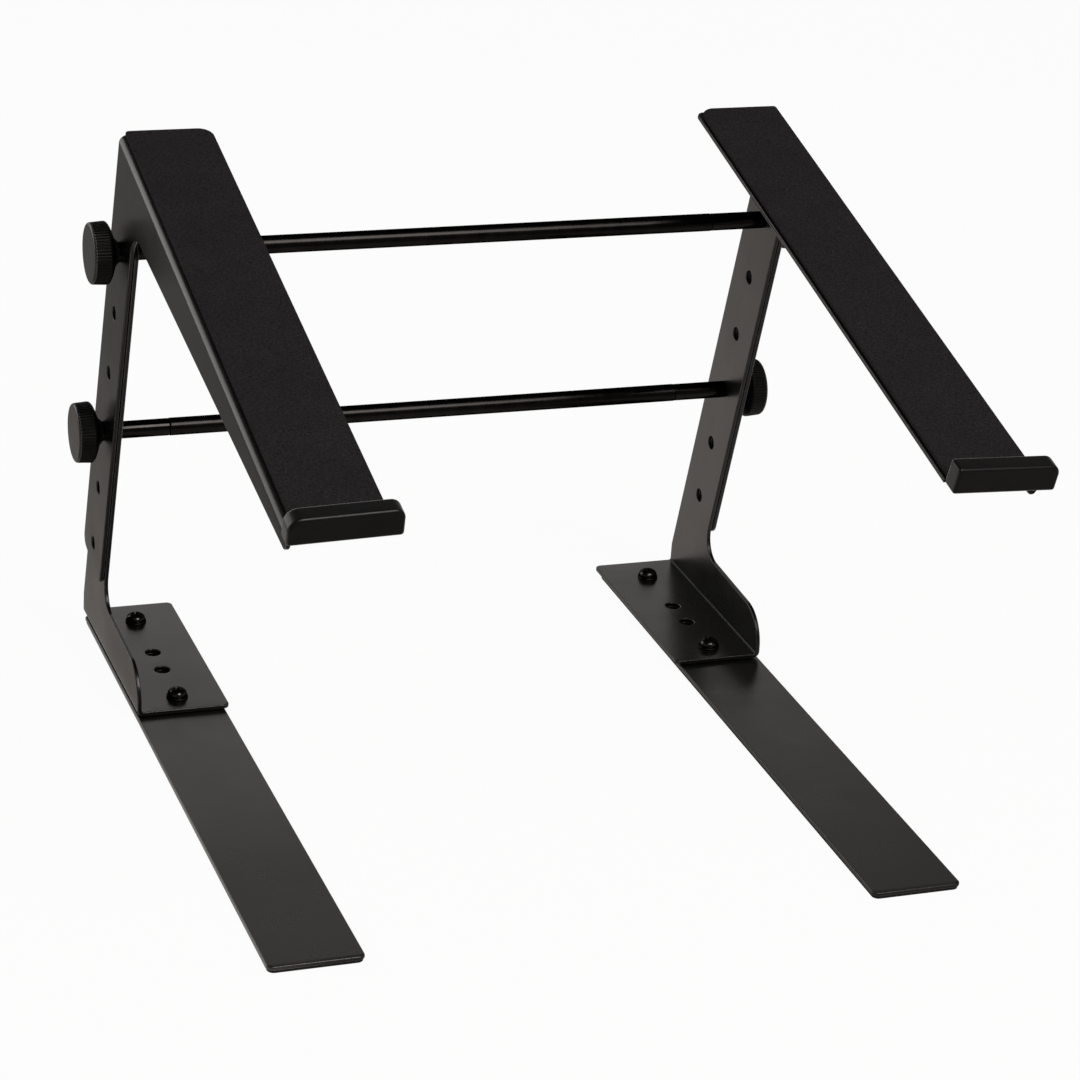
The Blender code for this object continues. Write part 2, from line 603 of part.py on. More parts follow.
def main():
    clear_scene()
    steel = make_material("powder_coated_steel", (0.035, 0.034, 0.033), 0.45, 0.0)
    foam = make_material("black_foam", (0.02, 0.02, 0.02), 0.9, 0.0)
    rubber = make_material("black_rubber", (0.015, 0.014, 0.015), 0.7, 0.0)
    bar_metal = make_material("black_bar", (0.02, 0.02, 0.02), 0.25, 0.6)
    stud_metal = make_material("zinc_stud", (0.35, 0.35, 0.34), 0.35, 1.0)
    insert_metal = make_material("black_insert", (0.02, 0.02, 0.02), 0.2, 0.8)
    screw_metal = make_material("black_screw", (0.015, 0.014, 0.014), 0.2, 0.8)
    washer_metal = make_material("black_washer", (0.02, 0.02, 0.02), 0.35, 0.8)
    plastic = make_material("knob_plastic", (0.04, 0.04, 0.04), 0.5, 0.0)
    for word, side in SIDES.items():
        make_foot(word, side, steel, foam)
        make_lower_bracket(word, side, steel)
        make_fastenings(word, side, screw_metal, washer_metal)
        empty = pivot("height_axis_" + word, (side * UPPER_INNER_X, TOP_HOLE_Y, TOP_HOLE_Z))
        back = make_upper_bracket(word, side, steel, empty)
        make_platform_pad(word, side, foam, back, empty)
        make_front_lip(word, side, rubber, empty)
    for level in BAR_HOLES:
        make_crossbar(level, bar_metal)
        for word, side in SIDES.items():
            make_bar_end(level, word, side, bar_metal, stud_metal)
            make_knob(level, word, side, plastic, insert_metal)


main()
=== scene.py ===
"""Finer shapes and finishes for a tabletop laptop stand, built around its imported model.

Lengths are in metres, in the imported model's frame: +X is the stand's right, -Y its front and +Z up. The
two side frames mirror each other, so each piece is drawn for the right side and mirrored for the left.
"""

import logging
import math
from collections.abc import Callable, Iterable, Sequence
from dataclasses import dataclass, field
from enum import Enum
from itertools import pairwise

import bmesh
import bpy
from mathutils import Matrix, Vector, noise
from mathutils.geometry import delaunay_2d_cdt


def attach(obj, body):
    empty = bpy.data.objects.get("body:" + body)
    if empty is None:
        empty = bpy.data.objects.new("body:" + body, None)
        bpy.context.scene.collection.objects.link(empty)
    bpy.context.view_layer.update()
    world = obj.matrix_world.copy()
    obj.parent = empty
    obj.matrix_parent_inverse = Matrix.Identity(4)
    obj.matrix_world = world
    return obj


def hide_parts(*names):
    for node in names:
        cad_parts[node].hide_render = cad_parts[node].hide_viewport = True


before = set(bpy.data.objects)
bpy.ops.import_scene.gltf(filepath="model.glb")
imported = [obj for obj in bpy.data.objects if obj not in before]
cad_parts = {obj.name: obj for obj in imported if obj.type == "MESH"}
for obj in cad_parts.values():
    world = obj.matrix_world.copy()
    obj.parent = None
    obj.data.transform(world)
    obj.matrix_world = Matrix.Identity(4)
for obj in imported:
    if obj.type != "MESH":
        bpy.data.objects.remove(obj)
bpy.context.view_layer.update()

log = logging.getLogger("stand")

MM = 0.001
QUARTER = math.pi / 2
ARC_STEP = math.radians(9)  # turn of one step along a rounded corner
BEND_CUTS = 8  # steps along a bend
SAME_POINT = 0.0005 * MM

Colour = tuple[float, float, float]
Corner = tuple[Vector, float]


class Side(Enum):
    """Side of the stand, with the sign of its X."""

    LEFT = -1
    RIGHT = 1

    @property
    def word(self) -> str:
        """Word that node names use for the side."""
        return self.name.lower()


class Level(Enum):
    """Crossbar, with the post hole that it passes, counted from the top."""

    UPPER = 0
    LOWER = 3

    @property
    def word(self) -> str:
        """Word that node names use for the crossbar."""
        return self.name.lower()


class FlangeEnd(Enum):
    """End of the flange that a screw holds, with its sign along Y."""

    REAR = 1
    FRONT = -1

    @property
    def word(self) -> str:
        """Word that node names use for the end."""
        return self.name.lower()


# Layout shared by several pieces


@dataclass(frozen=True)
class HoleRow:
    """Row of holes that the lower post and the upper strip share, leaning forward at the top."""

    top_y: float = 98.0 * MM
    top_z: float = 193.0 * MM
    lean: float = math.radians(15.5)
    pitch: float = 30.0 * MM
    count: int = 6
    radius: float = 3.0 * MM
    half_width: float = 16.0 * MM
    end: float = 11.0 * MM
    corner: float = 5.0 * MM

    @property
    def down(self) -> Vector:
        """Direction down the row, in (y, z)."""
        return Vector((math.sin(self.lean), -math.cos(self.lean)))

    @property
    def forward(self) -> Vector:
        """Direction square to the row, towards the front, in (y, z)."""
        return Vector((-math.cos(self.lean), -math.sin(self.lean)))

    def at(self, down: float, forward: float) -> Vector:
        """Point of the (y, z) plane by its distances down the row and forward of it."""
        return Vector((self.top_y, self.top_z)) + self.down * down + self.forward * forward

    def holes(self) -> list[Vector]:
        """Middles of the holes, from the top."""
        return [self.at(index * self.pitch, 0.0) for index in range(self.count)]


@dataclass(frozen=True)
class PlatformPlane:
    """Sloping plane of the pads' tops, measured from the point above the top hole."""

    above_y: float = 98.0 * MM
    above_z: float = 241.9 * MM
    slope: float = math.radians(13.25)

    @property
    def along(self) -> Vector:
        """Direction forward and down the slope, in (y, z)."""
        return Vector((-math.cos(self.slope), -math.sin(self.slope)))

    @property
    def up(self) -> Vector:
        """Direction square off the slope, in (y, z)."""
        return Vector((-math.sin(self.slope), math.cos(self.slope)))

    def at(self, along: float, up: float) -> Vector:
        """Point of the (y, z) plane by its distances along the slope and square off it."""
        return Vector((self.above_y, self.above_z)) + self.along * along + self.up * up

    def measure(self, point: Vector) -> Vector:
        """Distances (along, up) of a point of the (y, z) plane."""
        reach = point - Vector((self.above_y, self.above_z))
        return Vector((reach.dot(self.along), reach.dot(self.up)))


@dataclass(frozen=True)
class Stock:
    """Sheet steel that the brackets and feet are cut from."""

    thickness: float = 1.8 * MM
    bend_inside: float = 1.5 * MM
    edge: float = 0.45 * MM

    @property
    def bend_outside(self) -> float:
        """Radius of a bend's outside."""
        return self.bend_inside + self.thickness


@dataclass(frozen=True)
class Fastenings:
    """Places on the foot's flange that screws and spare bolts pass."""

    x: float = 119.7 * MM
    screw_y: float = 110.2 * MM
    screw_spacing: float = 75.0 * MM
    screw_hole: float = 2.3 * MM
    spare_y: float = 107.4 * MM
    spare_spacing: float = 17.0 * MM
    spare_hole: float = 3.3 * MM

    def screw_at(self, end: FlangeEnd) -> float:
        """Y of the screw at one end of the flange."""
        return self.screw_y + end.value * self.screw_spacing / 2

    def spare_at(self, end: FlangeEnd) -> float:
        """Y of the spare bolt hole nearer one end of the flange."""
        return self.spare_y + end.value * self.spare_spacing / 2


HOLES = HoleRow()
PLATFORM = PlatformPlane()
STOCK = Stock()
FASTENINGS = Fastenings()


# Outlines


def crossing(point: Vector, way: Vector, other: Vector, other_way: Vector) -> Vector:
    """Find where two lines of a plane cross.

    Args:
        point: A point of the first line.
        way: The first line's direction.
        other: A point of the second line.
        other_way: The second line's direction.

    Returns:
        The point that both lines pass.
    """
    normal = Vector((-other_way.y, other_way.x))
    return point + way * ((other - point).dot(normal) / way.dot(normal))


def rounded(corners: Sequence[Corner]) -> list[Vector]:
    """Draw a closed outline with each corner rounded.

    Args:
        corners: Each corner's point and radius, in order.

    Returns:
        The outline's points.
    """
    outline: list[Vector] = []
    for index, (corner, radius) in enumerate(corners):
        if radius == 0.0:
            outline.append(corner.copy())
            continue
        before = (corners[index - 1][0] - corner).normalized()
        after = (corners[(index + 1) % len(corners)][0] - corner).normalized()
        half = before.angle(after) / 2
        centre = corner + (before + after).normalized() * (radius / math.sin(half))
        start = corner + before * (radius / math.tan(half)) - centre
        end = corner + after * (radius / math.tan(half)) - centre
        first = math.atan2(start.y, start.x)
        turn = math.remainder(math.atan2(end.y, end.x) - first, math.tau)
        steps = max(2, math.ceil(abs(turn) / ARC_STEP))
        for step in range(steps + 1):
            angle = first + turn * step / steps
            outline.append(centre + Vector((math.cos(angle), math.sin(angle))) * radius)
    return outline


def circle(centre: Vector, radius: float, count: int = 40) -> list[Vector]:
    """Draw a round outline.

    Args:
        centre: The circle's middle.
        radius: The circle's radius.
        count: How many points it has.

    Returns:
        The outline's points.
    """
    turns = (math.tau * index / count for index in range(count))
    return [centre + Vector((math.cos(turn), math.sin(turn))) * radius for turn in turns]


def signed_area(outline: Sequence[Vector]) -> float:
    """Area inside an outline, below zero when it runs clockwise."""
    closed = [*outline, outline[0]]
    return sum(a.x * b.y - b.x * a.y for a, b in pairwise(closed)) / 2


def is_inside(point: Vector, outline: Sequence[Vector]) -> bool:
    """Whether a point lies inside an outline."""
    inside = False
    for a, b in pairwise([*outline, outline[0]]):
        if (a.y > point.y) != (b.y > point.y):
            inside ^= point.x < a.x + (b.x - a.x) * (point.y - a.y) / (b.y - a.y)
    return inside


def corner_fillet(start: tuple[float, float], end: tuple[float, float], steps: int = 4) -> list[tuple[float, float]]:
    """Round off the outer corner between two stations of a turned profile.

    Args:
        start: Station (along, radius) where the rounding starts.
        end: Station where it ends, both coordinates away from the start.
        steps: How many steps the rounding has.

    Returns:
        The stations along a quarter of an ellipse that leaves the start along its radius.
    """
    stations = []
    for step in range(steps + 1):
        angle = QUARTER * step / steps
        along = start[0] + (end[0] - start[0]) * (1 - math.cos(angle))
        radius = start[1] + (end[1] - start[1]) * math.sin(angle)
        stations.append((along, radius))
    return stations


# Meshes


@dataclass
class FlatSheet:
    """Flat pattern with rounded edges, drawn in (u, v) and thickened along w, which can then be folded."""

    outline: list[Vector]
    thickness: float
    edge: float
    holes: list[list[Vector]] = field(default_factory=list)
    edge_steps: int = 3

    def rim(self) -> list[tuple[float, float, float]]:
        """Profile of the edge.

        Returns:
            Inset, height and share of painted edge highlight of each ring, from the bottom face to the top face.
        """
        lower = []
        for step in range(self.edge_steps + 1):
            angle = QUARTER * step / self.edge_steps
            inset, height = self.edge * (1 - math.sin(angle)), self.edge * (1 - math.cos(angle))
            # Share of painted highlight: it peaks half way round the bevel and fades to nothing on the faces.
            lower.append((inset, height, math.sin(2 * angle)))
        upper = [(inset, self.thickness - height, wear) for inset, height, wear in reversed(lower)]
        if self.thickness - 2 * self.edge < SAME_POINT:
            upper = upper[1:]
        return lower + upper

    def build(self, cuts: Iterable[tuple[Vector, Vector]] = ()) -> bmesh.types.BMesh:
        """Make the closed flat mesh.

        Args:
            cuts: Point and normal of each plane along which faces are split, such as along a bend.

        Returns:
            The mesh, with the share of painted highlight on its edge bevels at each point.
        """
        bm = bmesh.new()
        wear = bm.verts.layers.float.new("edge_wear")
        bottoms, tops = [], []
        for index, drawn in enumerate([self.outline, *self.holes]):
            loop = self._turned_loop(drawn, is_hole=index > 0)
            miters = self._miters(loop)
            rings = []
            for inset, height, highlight_share in self.rim():
                ring = [bm.verts.new((*(point + miter * inset), height)) for point, miter in zip(loop, miters)]
                for vert in ring:
                    vert[wear] = highlight_share
                rings.append(ring)
            for ring, following in pairwise(rings):
                join_rings(bm, ring, following)
            bottoms.append(rings[0])
            tops.append(rings[-1])
        self._fill(bm, bottoms)
        self._fill(bm, tops)
        for point, normal in cuts:
            everything = [*bm.verts, *bm.edges, *bm.faces]
            bmesh.ops.bisect_plane(bm, geom=everything, dist=SAME_POINT, plane_co=point, plane_no=normal)
        return bm

    @staticmethod
    def _turned_loop(drawn: Sequence[Vector], is_hole: bool) -> list[Vector]:
        """Loop without repeated points, turned so that the sheet lies on its left."""
        loop = [point for index, point in enumerate(drawn) if (point - drawn[index - 1]).length > SAME_POINT]
        return loop[::-1] if (signed_area(loop) < 0) != is_hole else loop

    @staticmethod
    def _miters(loop: Sequence[Vector]) -> list[Vector]:
        """Offset of each point of a loop for an inset of one."""
        miters = []
        for index, point in enumerate(loop):
            before = (point - loop[index - 1]).normalized()
            after = (loop[(index + 1) % len(loop)] - point).normalized()
            left, right = Vector((-before.y, before.x)), Vector((-after.y, after.x))
            miters.append((left + right) / (1 + left.dot(right)))
        return miters

    @staticmethod
    def _fill(bm: bmesh.types.BMesh, rings: Sequence[Sequence[bmesh.types.BMVert]]) -> None:
        """Fill the flat face between an outer ring and the rings of its holes."""
        verts = [vert for ring in rings for vert in ring]
        edges, start = [], 0
        for ring in rings:
            edges += [(start + index, start + (index + 1) % len(ring)) for index in range(len(ring))]
            start += len(ring)
        flat = [vert.co.xy for vert in verts]
        loops = [[vert.co.xy for vert in ring] for ring in rings]
        _, _, triangles, origins, _, _ = delaunay_2d_cdt(flat, edges, [], 0, 1e-8)
        for triangle in triangles:
            corners = [verts[origins[index][0]] for index in triangle]
            middle = sum((vert.co.xy for vert in corners), Vector((0.0, 0.0))) / 3
            if sum(is_inside(middle, loop) for loop in loops) == 1:
                bm.faces.new(corners)


@dataclass
class Turning:
    """Round piece turned about the X axis, from a profile of (along, radius) or (along, radius, tooth)."""

    profile: list[tuple[float, ...]]
    segments: int = 64
    closed: bool = False
    teeth: int = 0

    def build(self) -> bmesh.types.BMesh:
        """Make the mesh, closed at the axis or on itself.

        Returns:
            The mesh, with its axis along X through the origin.
        """
        bm = bmesh.new()
        rings = [self._ring(bm, *station) for station in self.profile]
        for ring, following in pairwise(rings):
            join_rings(bm, ring, following)
        if self.closed:
            join_rings(bm, rings[-1], rings[0])
        return bm

    def _ring(self, bm: bmesh.types.BMesh, along: float, radius: float, tooth: float = 0.0) -> list[bmesh.types.BMVert]:
        """Points of one station, a single one on the axis."""
        if radius == 0.0:
            return [bm.verts.new((along, 0.0, 0.0))]
        ring = []
        for index in range(self.segments):
            angle = math.tau * index / self.segments
            valley = 0.5 - 0.5 * math.cos(self.teeth * angle)
            reach = radius - tooth * valley ** 0.7
            ring.append(bm.verts.new((along, reach * math.cos(angle), reach * math.sin(angle))))
        return ring


def join_rings(bm: bmesh.types.BMesh, ring: Sequence[bmesh.types.BMVert], following: Sequence[bmesh.types.BMVert]) -> None:
    """Fill the strip between two rings of points, either of which may be a single point.

    Args:
        bm: The mesh that gets the faces.
        ring: Points of the first ring.
        following: Points of the next ring, as many as the first has.
    """
    count = max(len(ring), len(following))
    for index in range(count):
        after = (index + 1) % count
        corners = [ring[index % len(ring)], ring[after % len(ring)],
                   following[after % len(following)], following[index % len(following)]]
        bm.faces.new(list(dict.fromkeys(corners)))


def move_points(bm: bmesh.types.BMesh, shape: Callable[[Vector], Vector]) -> None:
    """Move each point of a mesh to where a function puts it.

    Args:
        bm: The mesh.
        shape: Gives a point's new place from its old one.
    """
    for vert in bm.verts:
        vert.co = shape(vert.co.copy())


def make_object(bm: bmesh.types.BMesh, name: str, side: Side = Side.RIGHT) -> bpy.types.Object:
    """Turn a mesh drawn for the right side into an object.

    Args:
        bm: The mesh, which is used up.
        name: The object's name.
        side: Side of the stand that it belongs on.

    Returns:
        The object, linked to the scene and shaded smooth.
    """
    bmesh.ops.remove_doubles(bm, verts=bm.verts, dist=SAME_POINT)
    bmesh.ops.scale(bm, vec=(side.value, 1, 1), verts=bm.verts)
    bmesh.ops.recalc_face_normals(bm, faces=bm.faces)
    mesh = bpy.data.meshes.new(name)
    bm.to_mesh(mesh)
    bm.free()
    mesh.shade_smooth()
    mesh.set_sharp_from_angle(angle=math.radians(50))
    thing = bpy.data.objects.new(name, mesh)
    bpy.context.scene.collection.objects.link(thing)
    return thing


def carve(thing: bpy.types.Object, cutters: Iterable[bpy.types.Object]) -> None:
    """Take the shapes of cutters out of a piece and remove the cutters.

    Args:
        thing: The piece.
        cutters: Closed solids.
    """
    cutters = list(cutters)
    for cutter in cutters:
        modifier = thing.modifiers.new(cutter.name, "BOOLEAN")
        modifier.operation = "DIFFERENCE"
        modifier.solver = "EXACT"
        modifier.object = cutter
    graph = bpy.context.evaluated_depsgraph_get()
    mesh = bpy.data.meshes.new_from_object(thing.evaluated_get(graph))
    thing.modifiers.clear()
    thing.data = mesh
    mesh.set_sharp_from_angle(angle=math.radians(50))
    for cutter in cutters:
        bpy.data.objects.remove(cutter, do_unlink=True)


# Finishes


class NodeBench:
    """Wires one material's nodes around its principled shader."""

    def __init__(self, name: str) -> None:
        """Start a material.

        Args:
            name: The material's name.
        """
        self.material = bpy.data.materials.new(name)
        self.material.use_nodes = True
        self.tree = self.material.node_tree
        self.shader = self.tree.nodes["Principled BSDF"]
        self.place = self.tree.nodes.new("ShaderNodeTexCoord").outputs["Object"]

    def grain(self, scale: float, detail: float = 2.0, stretch: Sequence[float] = (1, 1, 1)) -> bpy.types.NodeSocket:
        """Add a soft random grain.

        Args:
            scale: Grains to the metre.
            detail: How many finer layers it has.
            stretch: Scale of the place along each axis.

        Returns:
            Socket with the grain's height, about 0.5 on average.
        """
        mapping = self.tree.nodes.new("ShaderNodeMapping")
        mapping.inputs["Scale"].default_value = stretch
        self.tree.links.new(self.place, mapping.inputs["Vector"])
        texture = self.tree.nodes.new("ShaderNodeTexNoise")
        texture.inputs["Scale"].default_value = scale
        texture.inputs["Detail"].default_value = detail
        self.tree.links.new(mapping.outputs["Vector"], texture.inputs["Vector"])
        return texture.outputs["Fac"]

    def cells(self, scale: float) -> bpy.types.NodeSocket:
        """Add a pattern of small closed cells.

        Args:
            scale: Cells to the metre.

        Returns:
            Socket with the distance from each cell's middle.
        """
        texture = self.tree.nodes.new("ShaderNodeTexVoronoi")
        texture.inputs["Scale"].default_value = scale
        self.tree.links.new(self.place, texture.inputs["Vector"])
        return texture.outputs["Distance"]

    def wear(self) -> bpy.types.NodeSocket:
        """Socket with the share of painted highlight that the mesh carries on its edge bevels."""
        attribute = self.tree.nodes.new("ShaderNodeAttribute")
        attribute.attribute_name = "edge_wear"
        return attribute.outputs["Fac"]

    def spread(self, value: bpy.types.NodeSocket, low: float, high: float) -> bpy.types.NodeSocket:
        """Spread a grain over a range.

        Args:
            value: Socket of a grain.
            low: Result at the grain's low end.
            high: Result at its high end.

        Returns:
            Socket with the result.
        """
        node = self.tree.nodes.new("ShaderNodeMapRange")
        node.inputs["From Min"].default_value = 0.3
        node.inputs["From Max"].default_value = 0.7
        node.inputs["To Min"].default_value = low
        node.inputs["To Max"].default_value = high
        self.tree.links.new(value, node.inputs["Value"])
        return node.outputs["Result"]

    def multiply(self, first: bpy.types.NodeSocket, second: bpy.types.NodeSocket) -> bpy.types.NodeSocket:
        """Socket with the product of two sockets."""
        node = self.tree.nodes.new("ShaderNodeMath")
        node.operation = "MULTIPLY"
        self.tree.links.new(first, node.inputs[0])
        self.tree.links.new(second, node.inputs[1])
        return node.outputs[0]

    def shade(self, share: bpy.types.NodeSocket, first: Colour | bpy.types.NodeSocket, second: Colour) -> bpy.types.NodeSocket:
        """Mix two colours.

        Args:
            share: Socket with the second colour's share.
            first: A colour, or the socket of one.
            second: The other colour.

        Returns:
            Socket with the mixed colour.
        """
        node = self.tree.nodes.new("ShaderNodeMix")
        node.data_type = "RGBA"
        self.tree.links.new(share, node.inputs["Factor"])
        if isinstance(first, bpy.types.NodeSocket):
            self.tree.links.new(first, node.inputs[6])
        else:
            node.inputs[6].default_value = (*first, 1.0)
        node.inputs[7].default_value = (*second, 1.0)
        return node.outputs[2]

    def bump(self, height: bpy.types.NodeSocket, depth: float, under: bpy.types.Node | None = None) -> bpy.types.Node:
        """Add fine relief.

        Args:
            height: Socket with the relief's height, from 0 to 1.
            depth: The relief's real depth.
            under: Relief that this one lies on.

        Returns:
            The relief's node, linked to the shader.
        """
        node = self.tree.nodes.new("ShaderNodeBump")
        node.inputs["Strength"].default_value = 1.0
        node.inputs["Distance"].default_value = depth
        self.tree.links.new(height, node.inputs["Height"])
        if under is not None:
            self.tree.links.new(under.outputs["Normal"], node.inputs["Normal"])
        self.tree.links.new(node.outputs["Normal"], self.shader.inputs["Normal"])
        return node

    def link(self, socket: bpy.types.NodeSocket, name: str) -> None:
        """Feed one of the shader's inputs."""
        self.tree.links.new(socket, self.shader.inputs[name])

    def fix(self, **values: float | tuple[float, ...]) -> None:
        """Set shader inputs that are the same all over; underscores stand for spaces."""
        for name, value in values.items():
            self.shader.inputs[name.replace("_", " ")].default_value = value


@dataclass(frozen=True)
class Finish:
    """A surface finish: its material's name and a slot name."""

    name: str
    slot: str

    def material(self) -> bpy.types.Material:
        """The finish's material, made when it is first asked for."""
        return bpy.data.materials.get(self.name) or self.make()

    def make(self) -> bpy.types.Material:
        """Make the material; each kind of finish has its own way."""
        raise NotImplementedError


@dataclass(frozen=True)
class PowderCoat(Finish):
    """Baked satin powder paint, with a lighter colour painted on the bevels along the edges of the sheet as a
    highlight.
    """

    dark: Colour = (0.0020, 0.0017, 0.0016)
    light: Colour = (0.0036, 0.0031, 0.0029)
    # Lighter colour painted on the edge bevels as a highlight.
    edge: Colour = (0.060, 0.057, 0.054)
    smooth: float = 0.26
    rough: float = 0.33
    specular: float = 0.50
    peel: float = 0.012 * MM

    def make(self) -> bpy.types.Material:
        """Make the paint: cloudy colour and gloss, orange peel and a painted highlight on the edge bevels."""
        bench = NodeBench(self.name)
        fine = bench.grain(1100.0, detail=3.0)
        cloud = bench.grain(38.0, detail=4.0)
        # Painted highlight: the bevels' share, mottled by a grain, mixes in the lighter edge colour.
        painted_edge_highlight = bench.multiply(bench.wear(), bench.spread(bench.grain(420.0), 0.25, 1.0))
        paint = bench.shade(bench.spread(fine, 0.0, 1.0), self.dark, self.light)
        bench.link(bench.shade(painted_edge_highlight, paint, self.edge), "Base Color")
        bench.link(bench.spread(cloud, self.smooth, self.rough), "Roughness")
        bench.bump(fine, self.peel, under=bench.bump(cloud, self.peel * 3))
        bench.fix(Specular_IOR_Level=self.specular)
        return bench.material


@dataclass(frozen=True)
class Foam(Finish):
    """Closed-cell foam sheet with a cut skin of fine open pores."""

    pore: Colour = (0.0115, 0.0106, 0.0112)
    skin: Colour = (0.0330, 0.0305, 0.0320)
    specular: float = 0.06
    depth: float = 0.05 * MM

    def make(self) -> bpy.types.Material:
        """Make the foam: pores in the skin, and clouds where it is pressed."""
        bench = NodeBench(self.name)
        pores = bench.cells(1500.0)
        fine = bench.grain(1300.0, detail=3.0)
        cloud = bench.grain(60.0, detail=3.0)
        base = bench.shade(bench.spread(fine, 0.0, 1.0), self.pore, self.skin)
        bench.link(bench.shade(bench.spread(cloud, 0.0, 0.25), base, self.pore), "Base Color")
        bench.link(bench.spread(cloud, 0.72, 0.86), "Roughness")
        bench.bump(fine, self.depth, under=bench.bump(pores, self.depth * 0.5))
        bench.fix(Specular_IOR_Level=self.specular)
        return bench.material


@dataclass(frozen=True)
class MouldedRubber(Finish):
    """Soft moulded rubber, matte on its faces, with a lighter colour painted on its rounded ridges as a highlight."""

    dark: Colour = (0.0018, 0.0016, 0.0017)
    light: Colour = (0.0028, 0.0025, 0.0026)
    # Lighter colour painted on the rounded ridges as a highlight.
    ridge_highlight: Colour = (0.0036, 0.0033, 0.0035)
    specular: float = 0.40
    sheen: float = 1.0
    depth: float = 0.02 * MM

    def make(self) -> bpy.types.Material:
        """Make the rubber: mould grain, dusty clouds and a painted highlight on the ridges."""
        bench = NodeBench(self.name)
        fine = bench.grain(1600.0, detail=2.0)
        cloud = bench.grain(90.0, detail=3.0)
        base = bench.shade(bench.spread(cloud, 0.0, 1.0), self.dark, self.light)
        bench.link(bench.shade(bench.wear(), base, self.ridge_highlight), "Base Color")
        bench.link(bench.spread(cloud, 0.34, 0.42), "Roughness")
        bench.bump(fine, self.depth)
        bench.fix(Specular_IOR_Level=self.specular, Sheen_Weight=self.sheen, Sheen_Roughness=0.27)
        return bench.material


@dataclass(frozen=True)
class TurnedMetal(Finish):
    """Metal turned on a lathe, with fine tool rings round its axis."""

    dark: Colour
    light: Colour
    smooth: float
    rough: float
    edge_tint: Colour = (0.3, 0.3, 0.3)
    rings: float = 0.004 * MM
    stretch: tuple[float, float, float] = (60.0, 1.0, 1.0)

    def make(self) -> bpy.types.Material:
        """Make the metal: rings across the axis, and handling marks in the gloss."""
        bench = NodeBench(self.name)
        ring = bench.grain(70.0, detail=2.0, stretch=self.stretch)
        cloud = bench.grain(160.0, detail=4.0)
        bench.link(bench.shade(bench.spread(cloud, 0.0, 1.0), self.dark, self.light), "Base Color")
        bench.link(bench.spread(cloud, self.smooth, self.rough), "Roughness")
        bench.bump(ring, self.rings)
        bench.fix(Metallic=1.0, Specular_Tint=(*self.edge_tint, 1.0))
        return bench.material


@dataclass(frozen=True)
class KnobPlastic(Finish):
    """Moulded plastic with an eroded mould grain."""

    dark: Colour
    light: Colour
    smooth: float
    rough: float
    specular: float
    depth: float = 0.012 * MM

    def make(self) -> bpy.types.Material:
        """Make the plastic: mould grain, and clouds in colour and gloss."""
        bench = NodeBench(self.name)
        fine = bench.grain(1700.0, detail=2.0)
        cloud = bench.grain(140.0, detail=3.0)
        bench.link(bench.shade(bench.spread(cloud, 0.0, 1.0), self.dark, self.light), "Base Color")
        bench.link(bench.spread(cloud, self.smooth, self.rough), "Roughness")
        bench.bump(fine, self.depth)
        bench.fix(Specular_IOR_Level=self.specular)
        return bench.material


PAINT = PowderCoat("satin_powder_coat", "powder_coat")
FOAM = Foam("foam_sheet", "foam")
RUBBER = MouldedRubber("moulded_rubber", "lip_rubber")
# The face and hub finish has a lighter colour than the grip's: a painted reflection on one plastic.
KNOB_FACE_PAINTED_LIGHT = KnobPlastic("knob_face", "knob", (0.020, 0.0190, 0.0184), (0.028, 0.0268, 0.0260), 0.22, 0.30, 0.50)
KNOB_GRIP = KnobPlastic("knob_grip", "knob", (0.0032, 0.0030, 0.0030), (0.0050, 0.0048, 0.0047), 0.34, 0.44, 0.12)
BAR_BLACK = TurnedMetal("bar_black", "bar", (0.018, 0.0170, 0.0162), (0.027, 0.0255, 0.0243), 0.20, 0.28)
END_BLACK = TurnedMetal("bar_end_gloss", "bar", (0.022, 0.0208, 0.0196), (0.032, 0.0303, 0.0286), 0.09, 0.14)
INSERT_BLACK = TurnedMetal("insert_gloss", "insert", (0.030, 0.029, 0.028), (0.050, 0.048, 0.046), 0.10, 0.20)
SCREW_BLACK = TurnedMetal("screw_gloss", "screw", (0.050, 0.048, 0.046), (0.085, 0.081, 0.077), 0.18, 0.28,
                          stretch=(1.0, 1.0, 60.0))
WASHER_BLACK = TurnedMetal("washer_black", "washer", (0.030, 0.029, 0.028), (0.055, 0.053, 0.050), 0.26, 0.40,
                           stretch=(1.0, 1.0, 60.0))
ZINC = TurnedMetal("zinc_thread", "stud", (0.30, 0.30, 0.29), (0.44, 0.44, 0.42), 0.24, 0.40, (1.0, 1.0, 1.0))


def fit(thing: bpy.types.Object, finish: Finish, body: str, node: str) -> bpy.types.Object:
    """Dress a piece and put it in a node's place.

    Args:
        thing: The piece, where it belongs.
        finish: Its finish.
        body: The body that it moves with.
        node: The node that it stands for.

    Returns:
        The piece.
    """
    thing.data.materials.clear()
    thing.data.materials.append(finish.material())
    normals = thing.modifiers.new("flat faces stay flat", "WEIGHTED_NORMAL")
    normals.keep_sharp = True
    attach(thing, body)
    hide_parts(node)
    log.info("%s stands for %s on %s", thing.name, node, body)
    return thing


# Sub-assemblies of one side


